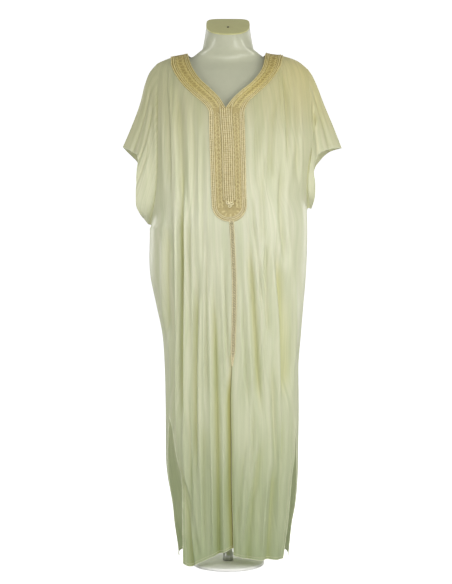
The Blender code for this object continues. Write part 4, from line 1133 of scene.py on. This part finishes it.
def neck_ring(share, grow=0.0, lift=0.0):
    """A ring of the neck between its root (0) and its slanted top (1)."""
    low_x, low_y = form_oval(FORM["z"][-1])
    top = (NECK_TOP_HALF + grow, NECK_TOP_FRONT + grow, NECK_TOP_BACK + grow)
    (top_x, top_y), (square_x, square_y) = oval(*top, 2.5), oval(*top, 4.5)
    top_x, top_y = np.where(top_y < 0, top_x, square_x), np.where(top_y < 0, top_y, square_y)
    top_z = slant_z(top_y) + lift
    narrow = 1 - 0.012 * np.sin(np.pi * share)
    return np.stack((mix(low_x, top_x, share) * narrow, mix(low_y, top_y, share) * narrow,
                     mix(np.full(FORM_ROUND, FORM["z"][-1]), top_z, share)), axis=-1)


def closed_ends(rings):
    """Rings with one more, shrunk to its middle, at each end, so that the shape is closed."""
    first, last = (mix(ring.mean(axis=0), ring, 0.001)[None] for ring in (rings[0], rings[-1]))
    return np.concatenate((first, rings, last))


ROUNDED_FOOT = (0.700, 0.701, 0.7025, 0.704, 0.707, 0.711, 0.716)
heights = np.append(ROUNDED_FOOT, np.linspace(0.725, 1.420, 110))
rings = [np.stack((*form_oval(z), np.full(FORM_ROUND, z)), axis=-1) for z in heights]
rings += [neck_ring(share) for share in np.linspace(0.0, 1.0, 22)[1:]]
torso = ring_mesh("form_torso_shell", closed_ends(np.array(rings)))

CAP_EDGE = ((0.0, 0.0004), (0.0006, 0.0004), (0.0006, 0.0026), (0.0, 0.0034), (-0.003, 0.0036))
rings = np.array([neck_ring(1.0, grow, lift) for grow, lift in CAP_EDGE])
cap = ring_mesh("form_neck_cap_plate", closed_ends(rings))


def turned(profile, sides):
    """Rings of points: a profile of (radius, height) carried round the vertical axis."""
    radius, height = np.array(profile).T[..., None]
    turn = np.linspace(0.0, 2 * np.pi, sides, endpoint=False)
    return np.stack(np.broadcast_arrays(radius * np.cos(turn), radius * np.sin(turn), height), axis=-1)


POLE = ((0.0001, 0.0083), (0.0138, 0.0085), (0.0138, 0.0295), (0.0125, 0.0300),
        (0.0125, 0.6990), (0.0117, 0.6997), (0.0001, 0.6997))
BASE = ((0.0001, 0.0000), (0.0985, 0.0000), (0.0998, 0.0010), (0.1000, 0.0040),
        (0.0998, 0.0058), (0.0985, 0.0074), (0.0960, 0.0080), (0.0001, 0.0080))
pole = ring_mesh("stand_pole_tube", turned(POLE, 96))
base = ring_mesh("stand_base_plate", turned(BASE, 96))
print("form:", len(torso.data.polygons), "faces")

# %% [markdown]
# ## A screw in the cap
# The cap is fixed with one small dark screw near its middle.

# %% Cap screw
SCREW_Y = -0.018
SCREW = ((0.0001, 0.0036), (0.0006, 0.0036), (0.0010, 0.0048), (0.0024, 0.0050), (0.0030, 0.0044),
         (0.0030, 0.0034))      # from its middle outwards
screw_z = slant_z(SCREW_Y)
rings = turned(SCREW, 24) + np.array((0.0, SCREW_Y, 0.0))
rings[..., 2] += slant_z(rings[..., 1])
screw = ring_mesh("cap_screw", rings)
print("screw at", SCREW_Y, round(float(screw_z), 3))

# %% [markdown]
# ## Shared material effects
# Two effects are used by more than one fabric, so each is a node group: the weave of threads,
# and a line of stitches that follows a finished edge. They put out masks and heights only; the
# shader itself stays in each material.

# %% Node helpers
def put(socket, value):
    """Set a node's input to a number or a colour, or link another node's output to it."""
    if isinstance(value, bpy.types.NodeSocket):
        socket.id_data.links.new(value, socket)
    elif isinstance(value, tuple) and socket.type == "RGBA":
        socket.default_value = (*value, 1.0)
    else:
        socket.default_value = value


def node(tree, kind, settings=None, **values):
    """A node with its properties in settings, and its inputs by name."""
    made = tree.nodes.new(kind)
    for key, value in (settings or {}).items():
        setattr(made, key, value)
    for key, value in values.items():
        put(made.inputs[key.replace("_", " ")], value)
    return made


def maths(tree, operation, *values, clamp=False):
    """A Math node; each operand is a number or a socket."""
    made = node(tree, "ShaderNodeMath", {"operation": operation, "use_clamp": clamp})
    for socket, value in zip(made.inputs, values):
        put(socket, value)
    return made.outputs[0]


def new_group(name, inputs, outputs):
    """An empty node group: its tree, its input sockets and its output node."""
    group = bpy.data.node_groups.new(name, "ShaderNodeTree")
    for label, value in inputs.items():
        kind = "NodeSocketVector" if value is None else "NodeSocketFloat"
        made = group.interface.new_socket(label, in_out="INPUT", socket_type=kind)
        if value is not None:
            made.default_value = value
    for label in outputs:
        group.interface.new_socket(label, in_out="OUTPUT", socket_type="NodeSocketFloat")
    return group, group.nodes.new("NodeGroupInput").outputs, group.nodes.new("NodeGroupOutput").inputs


def stretched_noise(tree, cut, scale, roughness):
    """Noise drawn out down the cloth: scale gives its steps a metre across and down."""
    place = node(tree, "ShaderNodeMapping", Vector=cut, Scale=(*scale, 1.0))
    return node(tree, "ShaderNodeTexNoise", {"noise_dimensions": "2D"}, Vector=place.outputs[0], Scale=1.0,
                Detail=3.0, Roughness=roughness).outputs["Fac"]


# %% [markdown]
# The weave is two sines, close together across the cloth and five times as far apart down it,
# and slubs: threads that are thicker for a while.

# %% Weave group
weave, given, made = new_group("satin_weave", {"Vector": None, "Thread": 0.0004}, ("Height", "Slub"))
across, down, _ = node(weave, "ShaderNodeSeparateXYZ", Vector=given["Vector"]).outputs
warp, weft = (
    maths(weave, "SINE", maths(weave, "DIVIDE", maths(weave, "MULTIPLY", way, turns), given["Thread"]))
    for way, turns in ((across, 6.2832), (down, 1.2566)))
warp, weft = maths(weave, "MULTIPLY", warp, 0.4), maths(weave, "MULTIPLY", weft, 0.15)
put(made["Height"], maths(weave, "ADD", warp, weft))
put(made["Slub"], stretched_noise(weave, given["Vector"], (260.0, 7.0), 0.55))
print("group", weave.name, "made")

# %% [markdown]
# A stitch line is a dashed line at an inset from an edge: the distance to the edge is a float
# attribute of the mesh, and the dashes come from the length along the cloth.

# %% Stitch line group
STITCHED_SHARE = 0.72   # of each step
STITCH_INPUTS = {"Distance": 0.0, "Along": 0.0, "Inset": 0.012, "Pitch": 0.003, "Width": 0.0007}
stitch, given, made = new_group("stitch_line", STITCH_INPUTS, ("Mask",))
off = maths(stitch, "ABSOLUTE", maths(stitch, "SUBTRACT", given["Distance"], given["Inset"]))
on_line = maths(stitch, "LESS_THAN", off, given["Width"])
step = maths(stitch, "FRACT", maths(stitch, "DIVIDE", given["Along"], given["Pitch"]))
put(made["Mask"], maths(stitch, "MULTIPLY", on_line, maths(stitch, "LESS_THAN", step, STITCHED_SHARE)))
print("group", stitch.name, "made")

# %% [markdown]
# ## Sateen
# Sateen floats its warp threads on the face, which gives long soft highlights down the cloth
# and hardly any texture across it. The base colour is a pale yellow-green with painted shade:
# darker and yellower near the top, darker and greener towards the hem. A painted reflection of
# the gold band makes it warmer at the right shoulder. Faint slubs and painted sheen streaks run
# down the cloth, and the hems and slits show one line of machine stitches. The cloth is thin
# enough to let some light through, so a translucent share is mixed in, and the inside of the
# robe isn't black.

# %% Material helpers
def new_material(name, **constants):
    """A material with its Principled shader's constants set directly on the sockets."""
    made = bpy.data.materials.new(name)
    made.use_nodes = True
    shader = made.node_tree.nodes["Principled BSDF"]
    for key, value in constants.items():
        put(shader.inputs[key.replace("_", " ")], value)
    return made, made.node_tree, shader.inputs


def object_place(tree):
    """The place on the object, whole and as X, Y and Z."""
    place = node(tree, "ShaderNodeTexCoord").outputs["Object"]
    return place, node(tree, "ShaderNodeSeparateXYZ", Vector=place).outputs


def cut_map(tree):
    """The piece's own flat map, in metres across and down the cloth."""
    return node(tree, "ShaderNodeUVMap", {"uv_map": "cut"}).outputs[0]


def marked(tree, name):
    """A float attribute of the mesh."""
    return node(tree, "ShaderNodeAttribute", {"attribute_name": name}).outputs["Fac"]


def rise(tree, value, start, slope):
    """(value - start) slope, held between 0 and 1."""
    return maths(tree, "MULTIPLY", maths(tree, "SUBTRACT", value, start), slope, clamp=True)


def blend_colours(tree, factor, a, b, mode="MIX"):
    """A Mix node for colours; each colour is a tuple or a socket, the factor a number or a socket."""
    made = node(tree, "ShaderNodeMix", {"data_type": "RGBA", "blend_type": mode})
    for index, value in ((0, factor), (6, a), (7, b)):
        put(made.inputs[index], value)
    return made.outputs[2]


def multiplied(tree, factor, colour, by):
    """The colour, and by how much of the way it is multiplied by another."""
    return blend_colours(tree, factor, colour, blend_colours(tree, 1.0, colour, by, "MULTIPLY"))


def ramp(tree, factor, *stops, interpolation="LINEAR"):
    """A colour ramp through (place, value or colour) stops."""
    made = node(tree, "ShaderNodeValToRGB", Fac=factor)
    made.color_ramp.interpolation = interpolation
    elements = made.color_ramp.elements
    while len(elements) < len(stops):
        elements.new(0.5)
    for element, (place, colour) in zip(elements, stops):
        element.position = place
        element.color = (*(colour if isinstance(colour, tuple) else (colour,) * 3), 1.0)
    return made.outputs["Color"]


def bumped(tree, strength, distance, *heights):
    """A bumped normal from the sum of (height, scale) pairs."""
    total = None
    for height, scale in heights:
        scaled = maths(tree, "MULTIPLY", height, scale)
        total = scaled if total is None else maths(tree, "ADD", total, scaled)
    return node(tree, "ShaderNodeBump", Strength=strength, Distance=distance, Height=total).outputs[0]


# %% [markdown]
# The sateen is built up in order: painted shade by height, a painted warm reflection on the
# shoulder, painted sheen streaks, painted shade in the folds, the shaded strip and a painted
# shadow line at the opening, slubs with painted sheen, and stitches; then gloss, relief and the
# translucent share.

# %% Sateen material
CLOTH_COLOUR = (0.757, 0.768, 0.595)
# painted shade: darker and yellower near the top, darker and greener at the hem
CLOTH_CHEST_SHADE = (0.645, 0.637, 0.420)
CLOTH_HEM_SHADE = (0.440, 0.505, 0.305)
# painted reflection of the gold band: warmer at the right shoulder
SHOULDER_REFLECTION_WARM = (0.760, 0.690, 0.370)
FOLD_SHADE_TINT = (0.930, 0.900, 0.580)     # painted shade and bounce light in a fold: darker and yellower where it is deep
# painted shade beside the centre opening, and a painted shadow line at its edge
SHADED_STRIP, OPENING_SHADOW_LINE = (0.640, 0.560, 0.260), (0.200, 0.160, 0.060)
STITCH_COLOUR = (0.70, 0.70, 0.50)
# painted sheen: paler and darker streaks down the cloth
PAINTED_SHEEN_STREAKS = ((0.32, (0.93, 0.95, 0.88)), (0.68, (1.05, 1.04, 1.03)))
HEM_SHADE_SHARE = ((0.0, 1.0), (0.16, 0.72), (0.45, 0.22), (0.80, 0.0))     # height, share of the painted shade at the hem
STITCH_INSET = {"hem": 0.006, "slit": 0.009}
SEE_THROUGH = 0.34

sateen, tree, shader = new_material("sateen_cloth", Sheen_Weight=0.25, Sheen_Roughness=0.35,
                                    Specular_IOR_Level=0.55)
cut = cut_map(tree)
xyz = object_place(tree)[1]
threads = node(tree, "ShaderNodeGroup", {"node_tree": weave}, Vector=cut, Thread=0.0005).outputs
# painted shade by height: darker near the top, then darker and greener towards the hem
colour = blend_colours(tree, rise(tree, xyz["Z"], 0.95, 3.2), CLOTH_COLOUR, CLOTH_CHEST_SHADE)
colour = blend_colours(tree, ramp(tree, xyz["Z"], *HEM_SHADE_SHARE, interpolation="EASE"), colour, CLOTH_HEM_SHADE)
# painted reflection of the gold band, warming the right shoulder
shoulder = maths(tree, "MULTIPLY", rise(tree, xyz["Z"], 1.18, 5.0), rise(tree, xyz["X"], -0.02, 4.5))
colour = blend_colours(tree, shoulder, colour, SHOULDER_REFLECTION_WARM)
# painted sheen: streaks that multiply the colour down the cloth, and add a faint relief
sheen_streaks = stretched_noise(tree, cut, (70.0, 3.5), 0.5)
colour = blend_colours(tree, 1.0, colour, ramp(tree, sheen_streaks, *PAINTED_SHEEN_STREAKS), "MULTIPLY")
# painted shade in the folds: darker and yellower where the fold is deep
deep = maths(tree, "POWER", maths(tree, "MULTIPLY", marked(tree, "fold"), 70.0, clamp=True), 1.8)
colour = multiplied(tree, deep, colour, FOLD_SHADE_TINT)
# painted shade beside the centre opening, then a painted shadow line at its edge
opening = marked(tree, "opening")
colour = blend_colours(tree, maths(tree, "MULTIPLY", opening, 0.6), colour, SHADED_STRIP)
colour = blend_colours(tree, rise(tree, opening, 0.76, 4.2), colour, OPENING_SHADOW_LINE)
# slub tone and painted sheen: the cloth paler and darker along the slubs
slub_and_sheen = maths(tree, "MULTIPLY_ADD", threads["Slub"], 0.16, 0.92)
slub_and_sheen_grey = node(tree, "ShaderNodeCombineColor", Red=slub_and_sheen, Green=slub_and_sheen, Blue=slub_and_sheen).outputs[0]
colour = blend_colours(tree, 1.0, colour, slub_and_sheen_grey, "MULTIPLY")
across, down, _ = node(tree, "ShaderNodeSeparateXYZ", Vector=cut).outputs
masks = [node(tree, "ShaderNodeGroup", {"node_tree": stitch}, Distance=marked(tree, name), Along=along,
              Inset=STITCH_INSET[name]).outputs[0] for name, along in (("hem", across), ("slit", down))]
sewn = maths(tree, "MAXIMUM", *masks)
colour = blend_colours(tree, sewn, colour, STITCH_COLOUR)
put(shader["Base Color"], colour)
put(shader["Roughness"], maths(tree, "MULTIPLY_ADD", threads["Slub"], 0.16, 0.29))
put(shader["Normal"], bumped(tree, 0.6, 1.0, (threads["Height"], 0.00004), (threads["Slub"], 0.00025),
                             (sewn, 0.0003), (sheen_streaks, 0.0006)))
glow = node(tree, "ShaderNodeBsdfTranslucent", Color=colour)
both = node(tree, "ShaderNodeMixShader", Fac=SEE_THROUGH)
put(both.inputs[1], tree.nodes["Principled BSDF"].outputs[0])
put(both.inputs[2], glow.outputs[0])
put(tree.nodes["Material Output"].inputs["Surface"], both.outputs[0])
rolled = new_material("rolled_hem", Roughness=0.5, Base_Color=(0.640, 0.660, 0.480), Sheen_Weight=0.2)[0]
print("sateen ready")

# %% [markdown]
# ## Trim, thread, plastic and steel
# The trim's ground is a ribbed weave in gold-beige; the cords and leaves are the same thread,
# a little paler, because raised thread catches the light. The form is glossy off-white
# plastic and its cap a duller olive.

# %% Trim materials
HIGH_TINT = (0.90, 0.87, 0.64)      # the band on the shoulders is yellower than the panel


def trim_material(name, dark, pale, thread, relief, roughness, sheen):
    """Two tones of thread, mottled, with a ribbed weave."""
    made, tree, shader = new_material(name, Roughness=roughness, Sheen_Weight=sheen, Sheen_Roughness=0.4,
                                      Specular_IOR_Level=0.35)
    place, xyz = object_place(tree)
    weft = node(tree, "ShaderNodeGroup", {"node_tree": weave}, Vector=cut_map(tree), Thread=thread)
    mottle = node(tree, "ShaderNodeTexNoise", None, Vector=place, Scale=140.0, Detail=4.0, Roughness=0.6)
    tone = ramp(tree, mottle.outputs["Fac"], (0.32, 0.0), (0.68, 1.0))
    colour = blend_colours(tree, tone, dark, pale)
    put(shader["Base Color"], multiplied(tree, rise(tree, xyz["Z"], 1.22, 12.0), colour, HIGH_TINT))
    put(shader["Normal"], bumped(tree, 0.8, 1.0, (weft.outputs["Height"], relief),
                                 (mottle.outputs["Fac"], relief * 2.5)))
    return made


ground = trim_material(
    "trim_ground", (0.320, 0.258, 0.108), (0.445, 0.370, 0.175), 0.0011, 0.00012, 0.62, 0.2)
leaf = trim_material(
    "trim_leaf", (0.500, 0.430, 0.205), (0.610, 0.530, 0.285), 0.0006, 0.00006, 0.50, 0.3)
thread = trim_material(
    "trim_thread", (0.620, 0.550, 0.315), (0.755, 0.685, 0.440), 0.0006, 0.00006, 0.48, 0.3)
braid = trim_material(
    "braid_thread", (0.560, 0.500, 0.300), (0.680, 0.620, 0.400), 0.0006, 0.00006, 0.52, 0.3)
# painted shade: near-black tape seen through the braid's holes
shade_tape_material = trim_material(
    "braid_shade_backing", (0.050, 0.038, 0.014), (0.090, 0.070, 0.028), 0.0008, 0.00006, 0.7, 0.1)
print("trim materials ready")


# %% [markdown]
# The form and the stand share one effect, faint dust that dulls the gloss here and there; the
# plastic has a clear coat over it.

# %% Form and stand materials
def moulded(name, colour, roughness, coat=0.0, metallic=0.0):
    """Moulded plastic or coated steel: faint dust and a slight unevenness in the gloss."""
    made, tree, shader = new_material(name, Metallic=metallic, Coat_Roughness=0.08, Coat_Weight=coat)
    place = object_place(tree)[0]
    specks = node(tree, "ShaderNodeTexNoise", None, Vector=place, Scale=24.0, Detail=5.0, Roughness=0.62)
    dust = specks.outputs["Fac"]
    dusty = tuple(part * 0.93 for part in colour)
    put(shader["Base Color"], blend_colours(tree, ramp(tree, dust, (0.42, 0.0), (0.80, 1.0)), colour, dusty))
    put(shader["Roughness"], maths(tree, "MULTIPLY_ADD", dust, 0.12, roughness - 0.06))
    put(shader["Normal"], bumped(tree, 0.15, 0.0004, (dust, 1.0)))
    return made


form_plastic = moulded("form_gloss_plastic", (0.450, 0.460, 0.345), 0.42, coat=0.30)
cap_plastic = moulded("cap_satin_plastic", (0.545, 0.535, 0.255), 0.45)
dark_metal = moulded("dark_screw_metal", (0.060, 0.060, 0.055), 0.40, metallic=0.8)
steel = moulded("brushed_pole_steel", (0.600, 0.600, 0.600), 0.32, metallic=1.0)
white_coat = moulded("white_powder_coat", (0.900, 0.900, 0.890), 0.40)
print("plastics and steel ready")

# %% [markdown]
# ## Dress each piece
# Each new piece takes its material, rides on the one body, and hides the solid it stands for, if any.

# %% Assign, ride and replace
def finish_piece(piece, material, replaced=None):
    """Material, body, and hiding of the solid that the piece stands for."""
    piece.data.materials.append(material)
    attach(piece, "root")
    if replaced:
        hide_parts(replaced)


for name, piece in cloths.items():
    finish_piece(piece, sateen, name)
for piece in hems.values():
    finish_piece(piece, rolled)
for name, piece in trims.items():
    if name == "centre_braid":
        finish_piece(piece, shade_tape_material)
    else:
        finish_piece(piece, ground, name)
for name, piece in cords.items():
    if name == "centre_braid":
        finish_piece(piece, braid, name)
    else:
        finish_piece(piece, thread)
for piece in stitches.values():
    finish_piece(piece, leaf)
finish_piece(torso, form_plastic, "form_torso")
finish_piece(cap, cap_plastic, "form_neck_cap")
finish_piece(screw, dark_metal)
finish_piece(pole, steel, "stand_pole")
finish_piece(base, white_coat, "stand_base")

# %% [markdown]
# ## The cut


print("the cut")

# %% [markdown]
# ## Stage and light
# A plain pale floor runs up into a pale wall. Two tall soft boxes stand in front, left and
# right, and give the neck its two upright highlights and the folds their shading. A softer
# light from above the camera fills them in, a nearer one at waist height makes the middle the
# brightest part, and two weak ones behind shine through the cloth at the slits.

# %% Stage, lights and world
def soft_box(name, place, aim, size, power, colour):
    """An area light of a given size that faces a point."""
    data = bpy.data.lights.new(name, "AREA")
    data.shape, data.size, data.size_y = "RECTANGLE", size[0], size[1]
    data.energy, data.color = power, colour
    made = bpy.data.objects.new(name, data)
    made.location = place
    way = np.array(aim) - np.array(place)
    flat = np.hypot(way[0], way[1])
    made.rotation_euler = (np.arctan2(flat, -way[2]), 0.0, np.arctan2(way[1], way[0]) - np.pi / 2)
    bpy.context.scene.collection.objects.link(made)


WARM_WHITE = (1.0, 0.995, 0.97)
MIDDLE, CHEST = (0.0, 0.0, 0.75), (0.0, 0.0, 0.95)
soft_box("soft_box_left", (-2.25, -1.4, 1.50), CHEST, (0.40, 1.8), 23.0, (1.0, 1.0, 0.97))
soft_box("soft_box_right", (2.25, -1.4, 1.55), CHEST, (0.40, 1.8), 23.0, (1.0, 0.985, 0.94))
soft_box("top_front", (0.2, -2.9, 1.8), MIDDLE, (1.6, 0.9), 31.0, WARM_WHITE)
soft_box("near_key", (0.80, -1.60, 0.90), (0.0, -0.1, 0.80), (0.35, 0.9), 9.0, WARM_WHITE)
soft_box("back_left", (-2.4, 2.0, 1.40), MIDDLE, (0.6, 1.6), 24.0, (1.0, 1.0, 1.0))
soft_box("back_right", (2.4, 2.0, 1.40), MIDDLE, (0.6, 1.6), 20.0, (1.0, 1.0, 1.0))
print("lights ready")

# %% [markdown]
# The floor and wall are one sheet with a wide curve between them. It glows plain white for the
# camera, so that no edge of it shows, and its upper part for the cloth too, which is lit
# through from behind. The world is dim for everything but the camera.

# %% Floor and world
CURVE, WALL_Y = 3.0, 7.0        # radius of the curve, and where the wall stands
FLOOR_GLOW, WALL_FROM = 0.88, 0.3
WORLD_LIGHT = 0.20              # the rest, up to 1, is for the camera alone
turn = np.linspace(0.0, np.pi / 2, 24)
profile_y = np.concatenate(([-8.0, -4.0], WALL_Y - CURVE + CURVE * np.sin(turn), [WALL_Y]))
profile_z = np.concatenate(([0.0, 0.0], CURVE - CURVE * np.cos(turn), [8.0]))
floor_x = np.linspace(-9.0, 9.0, 5)[None, :]
points = np.stack(np.broadcast_arrays(floor_x, profile_y[:, None], profile_z[:, None] - 0.0002), axis=-1)
floor = put_mesh("pale_floor", points.reshape(-1, 3), grid_faces(len(profile_y), 5))
floor_paint, tree, shader = new_material("pale_paint", Roughness=0.85, Base_Color=(0.62, 0.62, 0.62),
                                         Emission_Color=(1.0, 1.0, 1.0))
height = object_place(tree)[1]["Z"]
seen = node(tree, "ShaderNodeLightPath").outputs["Is Camera Ray"]
lit = maths(tree, "MAXIMUM", seen, maths(tree, "GREATER_THAN", height, WALL_FROM))
put(shader["Emission Strength"], maths(tree, "MULTIPLY", lit, FLOOR_GLOW))
floor.data.materials.append(floor_paint)

world = bpy.data.worlds.new("pale_studio")
world.use_nodes = True
tree = world.node_tree
backdrop = tree.nodes["Background"].inputs
put(backdrop["Color"], (1.0, 1.0, 1.0))
seen = node(tree, "ShaderNodeLightPath").outputs["Is Camera Ray"]
put(backdrop["Strength"], maths(tree, "MULTIPLY_ADD", seen, 1.0 - WORLD_LIGHT, WORLD_LIGHT))
bpy.context.scene.world = world
bpy.context.scene.view_settings.view_transform = "Standard"
print("stage ready")
